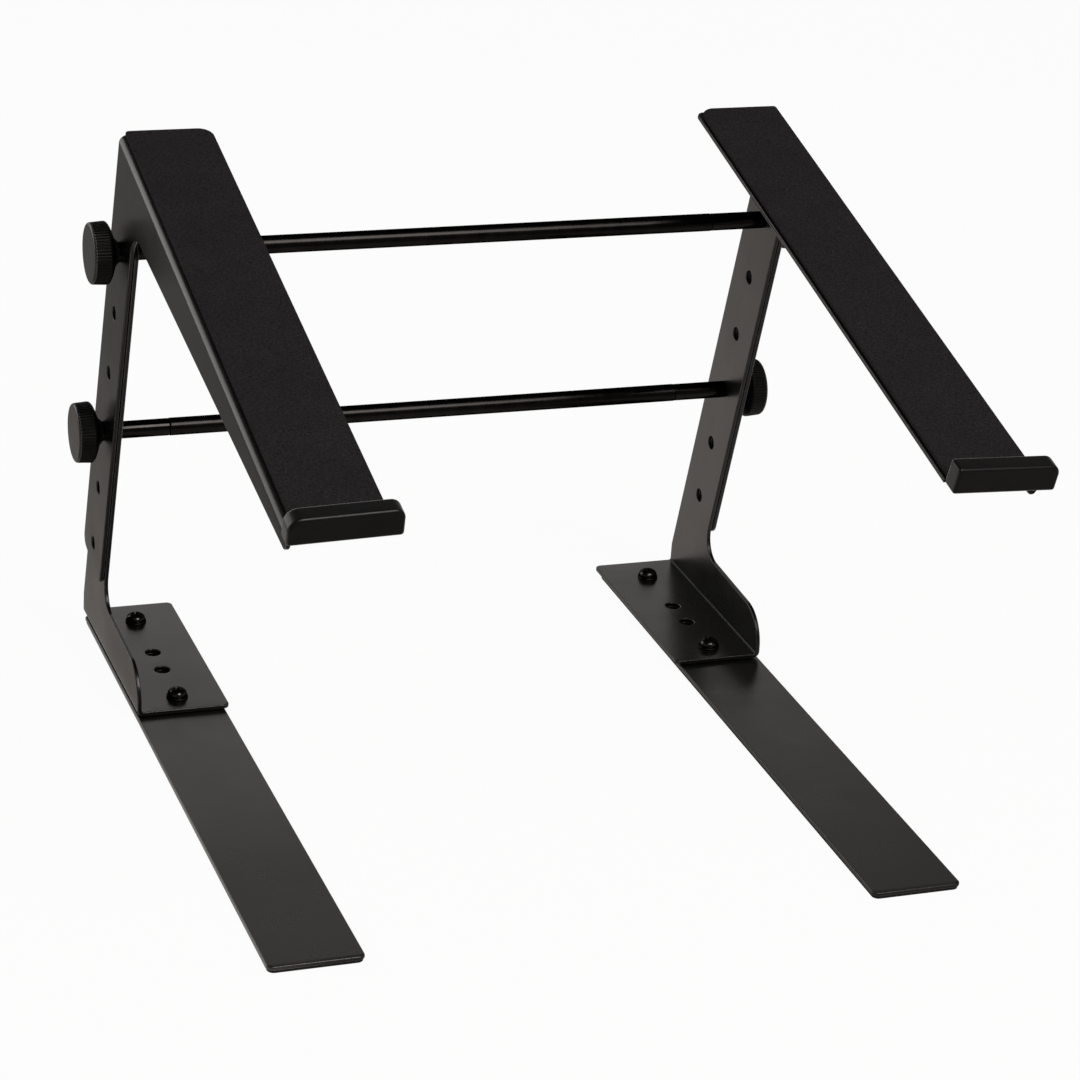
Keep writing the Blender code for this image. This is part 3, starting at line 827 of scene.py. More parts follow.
@dataclass
class Foot:
    """Flat bar that lies on the table, with a foam sheet glued under it."""

    side: Side
    inner_x: float = 101.8 * MM
    outer_x: float = 139.1 * MM
    front_y: float = -143.0 * MM
    back_y: float = 163.0 * MM
    corner: float = 2.6 * MM
    edge: float = 0.6 * MM
    bottom_z: float = 1.1 * MM
    underlay: float = 1.08 * MM
    underlay_inset: float = 0.4 * MM
    underlay_edge: float = 0.35 * MM
    spare_room: float = 0.7 * MM

    def build(self) -> None:
        """Make the bar and the sheet under it."""
        bar = FlatSheet(self._outline(0.0), STOCK.thickness, self.edge, self._holes()).build()
        move_points(bar, lambda flat: flat + Vector((0, 0, self.bottom_z)))
        plate = "foot_plate_" + self.side.word
        fit(make_object(bar, plate + "_bar", self.side), PAINT, "base", plate)
        outline = self._outline(self.underlay_inset)
        sheet = FlatSheet(outline, self.underlay, self.underlay_edge).build()
        node = "foot_underlay_" + self.side.word
        fit(make_object(sheet, node + "_foam", self.side), FOAM, "base", node)

    def _outline(self, inset: float) -> list[Vector]:
        """Outline of the bar, drawn in by an inset."""
        inner, outer = self.inner_x + inset, self.outer_x - inset
        front, back = self.front_y + inset, self.back_y - inset
        places = [(inner, front), (outer, front), (outer, back), (inner, back)]
        return rounded([(Vector(place), self.corner) for place in places])

    def _holes(self) -> list[list[Vector]]:
        """Outlines of the spare bolt holes, which have room round the flange's, and of the screw holes."""
        wide = FASTENINGS.spare_hole + self.spare_room
        spare = [circle(Vector((FASTENINGS.x, FASTENINGS.spare_at(end))), wide) for end in FlangeEnd]
        screw = [circle(Vector((FASTENINGS.x, FASTENINGS.screw_at(end))), FASTENINGS.screw_hole) for end in FlangeEnd]
        return spare + screw


@dataclass
class LowerBracket:
    """One bent sheet: flange on the foot, gusset and leaning post."""

    side: Side
    inner_x: float = 137.4 * MM
    flange_inner_x: float = 100.0 * MM
    flange_top_z: float = 5.0 * MM
    flange_corner: float = 2.5 * MM
    front_y: float = 61.2 * MM
    back_y: float = 164.5 * MM
    gusset_front_z: float = 22.6 * MM
    gusset_rise: float = math.radians(2.3)
    gusset_front_corner: float = 16.0 * MM
    gusset_fillet: float = 10.0 * MM
    foot_corner: float = 2.0 * MM
    bend_inside: float = 0.8 * MM

    @property
    def bend_x(self) -> float:
        """X of the bend's centre."""
        return self.inner_x - self.bend_inside

    @property
    def bend_z(self) -> float:
        """Z of the bend's centre."""
        return self.flange_top_z + self.bend_inside

    @property
    def bend_length(self) -> float:
        """Length of the inside of the bend."""
        return self.bend_inside * QUARTER

    def build(self) -> None:
        """Cut the flat pattern, fold it and paint it."""
        pattern = FlatSheet(self._outline(), STOCK.thickness, STOCK.edge, self._holes())
        cuts = [(Vector((-self.bend_length * step / BEND_CUTS, 0, 0)), Vector((1, 0, 0)))
                for step in range(BEND_CUTS + 1)]
        sheet = pattern.build(cuts)
        move_points(sheet, self.fold)
        node = "lower_bracket_" + self.side.word
        fit(make_object(sheet, node + "_sheet", self.side), PAINT, "base", node)

    def flat_flange(self, x: float) -> float:
        """Place of a flange's X in the flat pattern."""
        return -self.bend_length - (self.bend_x - x)

    def fold(self, flat: Vector) -> Vector:
        """Put a point of the flat pattern where the bent sheet has it.

        Args:
            flat: Height above the bend, Y, and distance from the inner face.

        Returns:
            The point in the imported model's frame.
        """
        height, y, depth = flat
        if height >= 0.0:
            return Vector((self.inner_x + depth, y, self.bend_z + height))
        if height >= -self.bend_length:
            angle = -height / self.bend_inside
            radius = self.bend_inside + depth
            return Vector((self.bend_x + radius * math.cos(angle), y, self.bend_z - radius * math.sin(angle)))
        return Vector((self.bend_x + height + self.bend_length, y, self.flange_top_z - depth))

    def _outline(self) -> list[Vector]:
        """Outline of the flat pattern."""
        back_line, front_line = HOLES.at(0.0, -HOLES.half_width), HOLES.at(0.0, HOLES.half_width)
        gusset = Vector((self.front_y, self.gusset_front_z))
        gusset_way = Vector((math.cos(self.gusset_rise), math.sin(self.gusset_rise)))
        fillet = crossing(front_line, HOLES.down, gusset, gusset_way)
        foot = crossing(back_line, HOLES.down, Vector((self.back_y, 0.0)), Vector((0.0, 1.0)))
        plate = [(gusset, self.gusset_front_corner), (fillet, self.gusset_fillet),
                 (HOLES.at(-HOLES.end, HOLES.half_width), HOLES.corner),
                 (HOLES.at(-HOLES.end, -HOLES.half_width), HOLES.corner), (foot, self.foot_corner)]
        inner = self.flat_flange(self.flange_inner_x)
        corners = [(Vector((inner, self.front_y)), self.flange_corner)]
        corners += [(Vector((point.y - self.bend_z, point.x)), radius) for point, radius in plate]
        corners.append((Vector((inner, self.back_y)), self.flange_corner))
        return rounded(corners)

    def _holes(self) -> list[list[Vector]]:
        """Outlines of the post's and the flange's holes in the flat pattern."""
        post = [circle(Vector((hole.y - self.bend_z, hole.x)), HOLES.radius) for hole in HOLES.holes()]
        line = self.flat_flange(FASTENINGS.x)
        spare = [circle(Vector((line, FASTENINGS.spare_at(end))), FASTENINGS.spare_hole) for end in FlangeEnd]
        screw = [circle(Vector((line, FASTENINGS.screw_at(end))), FASTENINGS.screw_hole) for end in FlangeEnd]
        return post + spare + screw


@dataclass
class FlangeScrew:
    """Pan-head screw with a cross recess, on a plain washer."""

    side: Side
    end: FlangeEnd
    shank: float = 2.0 * MM
    shank_bottom: float = 1.4 * MM
    washer_bottom: float = 5.02 * MM
    washer_top: float = 5.85 * MM
    washer_radius: float = 4.5 * MM
    chamfer: float = 0.15 * MM
    head_bottom: float = 5.9 * MM
    head_top: float = 9.0 * MM
    head_radius: float = 4.0 * MM
    recess_length: float = 4.4 * MM
    recess_width: float = 1.0 * MM
    recess_depth: float = 1.5 * MM

    @property
    def label(self) -> str:
        """Ending of the node names at this place."""
        return f"{self.side.word}_{self.end.word}"

    def build(self) -> None:
        """Make the washer and the screw."""
        hole, rim, cut = FASTENINGS.screw_hole, self.washer_radius, self.chamfer
        bottom, top = self.washer_bottom, self.washer_top
        ring = [(bottom, hole), (top - cut, hole), (top, hole + cut), (top, rim - cut), (top - cut, rim),
                (bottom + cut, rim), (bottom, rim - cut)]
        washer = self._upright(Turning(ring, segments=56, closed=True).build(), "foot_washer_" + self.label + "_ring")
        fit(washer, WASHER_BLACK, "base", "foot_washer_" + self.label)
        screw = self._upright(Turning(self._profile(), segments=56).build(), "foot_screw_" + self.label + "_head")
        carve(screw, [self._recess()])
        fit(screw, SCREW_BLACK, "base", "foot_screw_" + self.label)

    def _profile(self) -> list[tuple[float, float]]:
        """Stations of the shank and the domed head, from the bottom up."""
        side_top = self.head_bottom + 0.9 * MM
        dome = []
        for step in range(1, 9):
            angle = QUARTER * step / 8
            height = side_top + (self.head_top - side_top) * math.sin(angle)
            dome.append((height, self.head_radius * math.cos(angle) ** 0.8 if step < 8 else 0.0))
        tip = self.shank_bottom
        return [(tip, 0.0), (tip, self.shank - 0.4 * MM), (tip + 0.4 * MM, self.shank), (self.head_bottom, self.shank),
                (self.head_bottom, self.head_radius - self.chamfer),
                (self.head_bottom + self.chamfer, self.head_radius), (side_top, self.head_radius), *dome]

    def _upright(self, bm: bmesh.types.BMesh, name: str) -> bpy.types.Object:
        """Object from a piece turned about X, stood up at the screw's place."""
        stand_up = Matrix.Rotation(math.radians(-90), 4, "Y")
        place = Matrix.Translation((FASTENINGS.x, FASTENINGS.screw_at(self.end), 0.0))
        bmesh.ops.transform(bm, matrix=place @ stand_up, verts=bm.verts)
        return make_object(bm, name, self.side)

    def _recess(self) -> bpy.types.Object:
        """Cutter for the cross recess, tapered towards its bottom."""
        arm, half = self.recess_length / 2, self.recess_width / 2
        quarter = [Vector((half, half)), Vector((half, arm)), Vector((-half, arm))]
        cross = [Matrix.Rotation(QUARTER * turn, 2) @ point for turn in range(4) for point in quarter]
        bottom = self.head_top - self.recess_depth
        bm = bmesh.new()
        rings = []
        for z, scale in ((bottom, 0.62), (self.head_top + self.recess_depth, 1.38)):
            rings.append([bm.verts.new((FASTENINGS.x + point.x * scale,
                                        FASTENINGS.screw_at(self.end) + point.y * scale, z)) for point in cross])
        join_rings(bm, *rings)
        for ring in rings:
            bm.faces.new(ring)
        return make_object(bm, "recess_" + self.label, self.side)


@dataclass
class UpperBracket:
    """One bent sheet: strip outside the post, web, sloping platform and turned-up front tab."""

    side: Side
    tip_along: float
    tip_up: float
    splay: float
    inner_x: float = 139.5 * MM
    platform_inner_x: float = 104.3 * MM
    platform_bottom_up: float = -3.9 * MM
    platform_corner: float = 3.0 * MM
    web_end: float = 261.0 * MM
    tip_corner: float = 3.0 * MM
    web_back: float = 50.6 * MM
    web_back_up: float = -25.6 * MM
    web_fillet: float = 14.0 * MM
    slit: float = 1.2 * MM
    tab_front: float = 266.0 * MM
    tab_top_up: float = 4.5 * MM
    tab_inner_x: float = 106.8 * MM
    tab_outer_x: float = 141.0 * MM
    tab_shoulder: float = 259.4 * MM
    tab_corner: float = 3.0 * MM

    @property
    def bend_x(self) -> float:
        """X of the centre of the bend between web and platform."""
        return self.inner_x - STOCK.bend_inside

    @property
    def bend_up(self) -> float:
        """Height of that centre, square off the platform."""
        return self.platform_bottom_up - STOCK.bend_inside

    @property
    def bend_length(self) -> float:
        """Length of the inside of that bend."""
        return STOCK.bend_inside * QUARTER

    @property
    def tab_start(self) -> float:
        """Where the tab's bend starts along the platform."""
        return self.tab_front - STOCK.bend_outside

    @property
    def tab_bend_up(self) -> float:
        """Height of the centre of the tab's bend."""
        return self.platform_bottom_up + STOCK.bend_outside

    @property
    def tab_length(self) -> float:
        """Length of the outside of the tab's bend."""
        return STOCK.bend_outside * QUARTER

    @property
    def back(self) -> float:
        """Where the platform's back edge lies along the platform."""
        back_line = HOLES.at(0.0, -HOLES.half_width)
        corner = crossing(back_line, HOLES.down, PLATFORM.at(0.0, self.bend_up), PLATFORM.along)
        return PLATFORM.measure(corner).x

    def build(self) -> None:
        """Cut the flat pattern, fold it and paint it."""
        pattern = FlatSheet(self._outline(), STOCK.thickness, STOCK.edge, self._holes())
        steps = [step / BEND_CUTS for step in range(BEND_CUTS + 1)]
        cuts = [(Vector((self.bend_length * step, 0, 0)), Vector((1, 0, 0))) for step in steps]
        cuts += [(Vector((0, self.tab_start + self.tab_length * step, 0)), Vector((0, 1, 0))) for step in steps]
        sheet = pattern.build(cuts)
        move_points(sheet, self.fold)
        node = "upper_bracket_" + self.side.word
        fit(make_object(sheet, node + "_sheet", self.side), PAINT, "upper_" + self.side.word, node)

    def fold(self, flat: Vector) -> Vector:
        """Put a point of the flat pattern where the bent sheet has it.

        Args:
            flat: Height above the web's bend, distance along the platform, and distance from the inner face.

        Returns:
            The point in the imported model's frame.
        """
        height, along, depth = flat
        if height > self.bend_length or along > self.web_end + self.slit / 2:
            x = self.bend_x - (height - self.bend_length)
            along, up = self._front(along, depth)
        elif height > 0.0:
            angle = height / STOCK.bend_inside
            radius = STOCK.bend_inside + depth
            x, up = self.bend_x + radius * math.cos(angle), self.bend_up + radius * math.sin(angle)
        else:
            x, up = self.inner_x + depth, self.bend_up + height
        return Vector((self._splayed(x, along), *PLATFORM.at(along, up)))

    def _splayed(self, x: float, along: float) -> float:
        """X of a point of the folded sheet, whose outer edge leans out a little towards the front."""
        share = min(max((along - self.web_back) / (self.web_end - self.web_back), 0.0), 1.0)
        return x + self.splay * share * (x - self.platform_inner_x) / (self.inner_x - self.platform_inner_x)

    def _front(self, along: float, depth: float) -> tuple[float, float]:
        """Place (along, up) of a point of the platform, with the tab at its front turned up."""
        past = along - self.tab_start
        if past <= 0.0:
            return along, self.platform_bottom_up + depth
        if past <= self.tab_length:
            angle = past / STOCK.bend_outside
            radius = STOCK.bend_outside - depth
            return self.tab_start + radius * math.sin(angle), self.tab_bend_up - radius * math.cos(angle)
        return self.tab_front - depth, self.tab_bend_up + past - self.tab_length

    def _on_web(self, point: Vector) -> Vector:
        """Place of a point of the (y, z) plane in the flat pattern."""
        along, up = PLATFORM.measure(point)
        return Vector((up - self.bend_up, along))

    def _outline(self) -> list[Vector]:
        """Outline of the flat pattern."""
        lower_edge = PLATFORM.at(self.web_back, self.web_back_up)
        tip = PLATFORM.at(self.tip_along, self.tip_up)
        front_line = HOLES.at(0.0, HOLES.half_width)
        notch = crossing(front_line, HOLES.down, lower_edge, tip - lower_edge)
        strip_end = (HOLES.count - 1) * HOLES.pitch + HOLES.end
        inner = self.bend_length + self.bend_x - self.platform_inner_x
        tab_inner = self.bend_length + self.bend_x - self.tab_inner_x
        ear = self.bend_length + self.bend_x - self.tab_outer_x
        slit_end = self.bend_length + self.slit
        tab_end = self.tab_start + self.tab_length + self.tab_top_up - self.tab_bend_up
        return rounded([
            (Vector((0.0, self.back)), 0.0),
            (self._on_web(HOLES.at(strip_end, -HOLES.half_width)), HOLES.corner),
            (self._on_web(HOLES.at(strip_end, HOLES.half_width)), HOLES.corner),
            (self._on_web(notch), self.web_fillet),
            (self._on_web(tip), self.tip_corner),
            (Vector((0.0, self.web_end)), 0.0),
            (Vector((slit_end, self.web_end)), 0.0),
            (Vector((slit_end, self.web_end + self.slit)), 0.0),
            (Vector((ear, self.web_end + self.slit)), 0.0),
            (Vector((ear, tab_end)), self.tab_corner),
            (Vector((tab_inner, tab_end)), self.tab_corner),
            (Vector((tab_inner, self.tab_shoulder)), 0.0),
            (Vector((inner, self.tab_shoulder)), 0.0),
            (Vector((inner, self.back)), self.platform_corner)])

    def _holes(self) -> list[list[Vector]]:
        """Outlines of the strip's holes in the flat pattern."""
        return [circle(self._on_web(hole), HOLES.radius) for hole in HOLES.holes()]


@dataclass
class PlatformPad:
    """Foam pad glued on the platform, its cut edges softly rounded."""

    side: Side
    back: float
    inner_x: float
    outer_x: float
    thickness: float = 2.05 * MM
    edge: float = 0.55 * MM
    inset: float = 0.4 * MM
    front: float = 263.0 * MM
    back_corner: float = 6.0 * MM
    corner: float = 1.5 * MM
    grid: float = 7.0 * MM
    swell: float = 0.05 * MM

    def build(self) -> None:
        """Make the pad."""
        back = self.back + self.inset
        outline = rounded([(Vector((self.inner_x, back)), self.back_corner),
                           (Vector((self.outer_x, back)), self.corner),
                           (Vector((self.outer_x, self.front)), self.corner),
                           (Vector((self.inner_x, self.front)), self.corner)])
        across = self._lines(self.inner_x, self.outer_x, Vector((1, 0, 0)))
        down = self._lines(back, self.front, Vector((0, 1, 0)))
        sheet = FlatSheet(outline, self.thickness, self.edge).build(across + down)
        move_points(sheet, self.lay)
        node = "platform_pad_" + self.side.word
        pad = fit(make_object(sheet, node + "_foam", self.side), FOAM, "upper_" + self.side.word, node)

    def lay(self, flat: Vector) -> Vector:
        """Lay a point of the flat pad on the platform, a little uneven on top.

        Args:
            flat: X, distance along the platform, and height above the steel.

        Returns:
            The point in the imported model's frame.
        """
        x, along, height = flat
        unevenness = noise.noise(Vector((x * 90 * self.side.value, along * 60, 0.0))) - 0.5
        up = height - self.thickness + self.swell * unevenness * height / self.thickness
        return Vector((x, *PLATFORM.at(along, up)))

    def _lines(self, start: float, end: float, axis: Vector) -> list[tuple[Vector, Vector]]:
        """Planes that split the pad into a grid across one axis."""
        count = int((end - start) / self.grid)
        return [(axis * (start + (end - start) * step / count), axis) for step in range(1, count)]


@dataclass
class FrontLip:
    """Moulded rubber cap pushed over the front tab, sitting a little askew on it."""

    side: Side
    bracket: UpperBracket
    tilt: float
    shift: float
    slide: float
    front: float
    inner_corner: float
    outer_corner: float
    inner_x: float = 102.6 * MM
    outer_x: float = 144.2 * MM
    back: float = 259.9 * MM
    bottom_up: float = -2.8 * MM
    top_up: float = 8.2 * MM
    bottom_corner: float = 1.25 * MM
    edge: float = 1.15 * MM
    seat_up: float = 0.05 * MM
    room: float = 0.3 * MM

    def build(self) -> None:
        """Mould the cap and hollow it for the tab and the platform."""
        outline = rounded([(Vector((self.inner_x, self.bottom_up)), self.bottom_corner),
                           (Vector((self.outer_x, self.bottom_up)), self.bottom_corner),
                           (Vector((self.outer_x, self.top_up)), self.outer_corner),
                           (Vector((self.inner_x, self.top_up)), self.inner_corner)])
        block = FlatSheet(outline, self.front - self.back, self.edge, edge_steps=5).build()
        move_points(block, self.seat)
        node = "front_lip_" + self.side.word
        cap = make_object(block, node + "_cap", self.side)
        carve(cap, [self._pocket(), self._step()])
        fit(cap, RUBBER, "upper_" + self.side.word, node)

    def seat(self, flat: Vector) -> Vector:
        """Put a point of the cap in its place on the tab.

        Args:
            flat: X, height square off the platform, and distance from the cap's back face.

        Returns:
            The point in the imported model's frame.
        """
        middle = Vector((self.inner_x + self.outer_x, self.bottom_up + self.top_up)) / 2
        across, up = middle + Matrix.Rotation(-self.tilt, 2) @ (flat.xy - middle)
        return Vector((across + self.slide, *PLATFORM.at(self.back + flat.z, up + self.shift)))

    def _pocket(self) -> bpy.types.Object:
        """Cutter for the slot that takes the tab."""
        inner, outer = self.bracket.tab_inner_x - self.room, self.bracket.tab_outer_x + self.bracket.splay + self.room
        top, below = self.bracket.tab_top_up + self.room, 3 * self.bottom_up
        corner = self.bracket.tab_corner
        outline = rounded([(Vector((inner, below)), 0.0), (Vector((outer, below)), 0.0),
                           (Vector((outer, top)), corner), (Vector((inner, top)), corner)])
        slot = FlatSheet(outline, STOCK.thickness + 2 * self.room, 0.2 * self.room, edge_steps=1).build()
        start = self.bracket.tab_front - STOCK.thickness - self.room
        move_points(slot, lambda flat: Vector((flat.x, *PLATFORM.at(start + flat.z, flat.y))))
        return make_object(slot, "tab_slot_" + self.side.word, self.side)

    def _step(self) -> bpy.types.Object:
        """Cutter for the step that clears the platform behind the tab."""
        below, ahead = 3 * self.bottom_up, self.bracket.tab_front - STOCK.thickness / 2
        behind = self.back - self.top_up
        outline = [Vector((behind, below)), Vector((ahead, below)), Vector((ahead, self.seat_up)),
                   Vector((behind, self.seat_up))]
        start = self.bracket.tab_inner_x - self.room
        width = self.bracket.inner_x + STOCK.thickness + self.bracket.splay + self.room - start
        block = FlatSheet(outline, width, 0.2 * self.room, edge_steps=1).build()
        move_points(block, lambda flat: Vector((start + flat.z, *PLATFORM.at(flat.x, flat.y))))
        return make_object(block, "platform_step_" + self.side.word, self.side)


# Crossbars and clamps


@dataclass
class Crossbar:
    """Round bar between the two side frames."""

    level: Level
    radius: float = 3.75 * MM
    half_length: float = 113.35 * MM
    chamfer: float = 0.3 * MM
    bore: float = 2.5 * MM
    bore_depth: float = 9.0 * MM

    def build(self) -> None:
        """Turn the bar, bored at both ends for its end pieces."""
        end, cut = self.half_length, self.chamfer
        half = [(end - self.bore_depth, 0.0), (end - self.bore_depth, self.bore), (end, self.bore), (end, self.radius - cut)]
        half += corner_fillet((end, self.radius - cut), (end - cut, self.radius))[1:]
        profile = half + [(-along, radius) for along, radius in reversed(half)]
        node = "crossbar_" + self.level.word
        fit(on_bar(Turning(profile).build(), node + "_rod", self.level, Side.RIGHT), BAR_BLACK, "base", node)


@dataclass
class BarEnd:
    """Turned end piece screwed into a crossbar, with the stud that it carries."""

    level: Level
    side: Side
    radius: float = 3.65 * MM
    shoulder: float = 113.6 * MM
    face: float = 137.38 * MM
    chamfer: float = 0.3 * MM
    spigot: float = 2.2 * MM
    spigot_start: float = 105.3 * MM
    bore: float = 2.8 * MM
    bore_depth: float = 13.0 * MM

    @property
    def label(self) -> str:
        """Ending of the node names at this place."""
        return f"{self.level.word}_{self.side.word}"

    def build(self) -> None:
        """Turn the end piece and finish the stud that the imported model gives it."""
        cut, rim = self.chamfer, self.radius
        profile = [(self.spigot_start, 0.0), (self.spigot_start, self.spigot), (self.shoulder, self.spigot),
                   (self.shoulder, rim - cut), *corner_fillet((self.shoulder, rim - cut), (self.shoulder + cut, rim))[1:],
                   *reversed(corner_fillet((self.face, rim - cut), (self.face - cut, rim))),
                   (self.face, self.bore), (self.face - self.bore_depth, self.bore), (self.face - self.bore_depth, 0.0)]
        node = "bar_end_" + self.label
        fit(on_bar(Turning(profile).build(), node + "_turning", self.level, self.side), END_BLACK, "base", node)
        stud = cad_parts["clamp_stud_" + self.label]
        stud.data.materials.clear()
        stud.data.materials.append(ZINC.material())
        log.info("%s keeps its packed shape", stud.name)


@dataclass
class ThumbKnob:
    """Knurled thumb knob with a threaded bush moulded in, on the threaded tip of the stud.

    Distances along the axis are from the outer face of the upper bracket.
    """

    level: Level
    side: Side
    face_x: float = 141.3 * MM
    thread: float = 2.5 * MM
    thread_depth: float = 0.43 * MM
    pitch: float = 0.8 * MM
    tip_start: float = 0.05 * MM
    tip_end: float = 10.6 * MM
    bush_start: float = 0.1 * MM
    collar: float = 4.2 * MM
    collar_end: float = 2.2 * MM
    bush: float = 3.9 * MM
    bush_end: float = 8.5 * MM
    bore: float = 2.8 * MM
    bore_end: float = 11.0 * MM
    socket: float = 4.35 * MM
    socket_end: float = 8.8 * MM
    back: float = 1.0 * MM
    hub: float = 4.9 * MM
    neck: float = 6.4 * MM
    neck_end: float = 2.6 * MM
    rim: float = 12.8 * MM
    rim_start: float = 6.0 * MM
    rim_end: float = 11.5 * MM
    rim_front: float = 12.45 * MM
    face: float = 12.5 * MM
    face_radius: float = 11.3 * MM
    tooth: float = 0.22 * MM
    teeth: int = 64

    @property
    def label(self) -> str:
        """Ending of the node names at this place."""
        return f"{self.level.word}_{self.side.word}"

    def build(self) -> None:
        """Make the threaded tip, the bush and the knob."""
        tip = "stud_tip_" + self.label
        fit(on_bar(self._thread(), tip + "_thread", self.level, self.side), ZINC, "base", tip)
        insert = "knob_insert_" + self.label
        bush = Turning(self._outward(self._bush_profile()), closed=True).build()
        fit(on_bar(bush, insert + "_bush", self.level, self.side), INSERT_BLACK, "bush_" + self.label, insert)
        node = "knob_" + self.label
        moulding = Turning(self._outward(self._knob_profile()), segments=6 * self.teeth, teeth=self.teeth).build()
        knob = on_bar(moulding, node + "_moulding", self.level, self.side)
        fit(knob, KNOB_GRIP, "hand_knob_" + self.label, node)
        self._polish(knob)

    def _polish(self, knob: bpy.types.Object) -> None:
        """Give the hub, and the face with the bevel round it, the smoother finish, whose lighter colour is a painted
        reflection.
        """
        knob.data.materials.append(KNOB_FACE_PAINTED_LIGHT.material())
        for polygon in knob.data.polygons:
            along = polygon.center.x * self.side.value - self.face_x
            polygon.material_index = int(along < self.neck_end or along > self.rim_end)

    def _outward(self, profile: Iterable[tuple[float, ...]]) -> list[tuple[float, ...]]:
        """Profile moved out from the bracket's face to its X."""
        return [(self.face_x + along, *rest) for along, *rest in profile]

    def _bush_profile(self) -> list[tuple[float, float]]:
        """Stations of the bush's closed profile."""
        cut = 0.3 * MM
        return [(self.bush_start, self.bore), (self.bush_start, self.collar - cut),
                *corner_fillet((self.bush_start, self.collar - cut), (self.bush_start + cut, self.collar))[1:],
                *reversed(corner_fillet((self.collar_end, self.collar - cut), (self.collar_end - cut, self.collar))),
                (self.collar_end, self.bush), (self.bush_end, self.bush), (self.bush_end, self.bore)]

    def _knob_profile(self) -> list[tuple[float, ...]]:
        """Stations of the knob, from the bottom of its bore round to the middle of its face."""
        profile = [(self.bore_end, 0.0), (self.bore_end, self.bore), (self.socket_end, self.bore),
                   (self.socket_end, self.socket), (self.back, self.socket), (self.back, self.hub - 0.2 * MM),
                   (self.back + 0.2 * MM, self.hub), (self.neck_end, self.neck)]
        for step in range(1, 9):
            share = step / 8
            reach = self.neck + (self.rim - self.neck) * math.sin(share * QUARTER)
            profile.append((self.neck_end + (self.rim_start - self.neck_end) * share, reach, self.tooth * share ** 2))
        rim_front = self.rim - 0.35 * MM
        profile.append((self.rim_end, rim_front, self.tooth))
        for step in range(1, 6):
            angle = QUARTER * step / 5
            along = self.rim_end + (self.face - self.rim_end) * math.sin(angle)
            reach = self.face_radius + (rim_front - self.face_radius) * math.cos(angle)
            profile.append((along, reach, self.tooth * (1 - step / 5) ** 2))
        return profile + [(self.face, 0.6 * self.face_radius), (self.face, 0.0)]

    def _thread(self) -> bmesh.types.BMesh:
        """Stud tip with a real helical thread, chamfered at its end."""
        around, steps = 40, 8
        count = round((self.tip_end - self.tip_start) / self.pitch * steps)
        bm = bmesh.new()
        rings = [[bm.verts.new((self.face_x + self.tip_start, 0.0, 0.0))]]
        for index in range(count + 1):
            along = self.tip_start + (self.tip_end - self.tip_start) * index / count
            lead = max(0.0, along - (self.tip_end - 0.6 * MM))
            ring = []
            for turn in range(around):
                phase = (along / self.pitch - turn / around) % 1.0
                depth = self.thread_depth * min(1.0, abs(2 * phase - 1) * 1.1)
                reach = min(self.thread - depth, self.thread - lead)
                angle = math.tau * turn / around
                ring.append(bm.verts.new((self.face_x + along, reach * math.cos(angle), reach * math.sin(angle))))
            rings.append(ring)
        rings.append([bm.verts.new((self.face_x + self.tip_end, 0.0, 0.0))])
        for ring, following in pairwise(rings):
            join_rings(bm, ring, following)
        return bm


def on_bar(bm: bmesh.types.BMesh, name: str, level: Level, side: Side) -> bpy.types.Object:
    """Move a piece turned about X to a crossbar's axis.

    Args:
        bm: The turned mesh.
        name: The object's name.
        level: The crossbar.
        side: Side of the stand that the piece belongs on.

    Returns:
        The object.
    """
    bmesh.ops.translate(bm, vec=(0.0, *HOLES.at(level.value * HOLES.pitch, 0.0)), verts=bm.verts)
    return make_object(bm, name, side)


# Studio


@dataclass(frozen=True)
class Softbox:
    """Square area lamp that looks at the stand."""

    name: str
    place: Colour
    size: float
    watts: float
    colour: Colour = (1.0, 1.0, 1.0)

    def build(self, target: Vector) -> None:
        """Hang the lamp, looking at a target."""
        lamp = bpy.data.lights.new(self.name, "AREA")
        lamp.shape = "SQUARE"
        lamp.size = self.size
        lamp.energy = self.watts
        lamp.color = self.colour
        thing = bpy.data.objects.new(self.name, lamp)
        thing.location = self.place
        thing.rotation_euler = (target - thing.location).to_track_quat("-Z", "Y").to_euler()
        thing.visible_camera = False
        bpy.context.scene.collection.objects.link(thing)


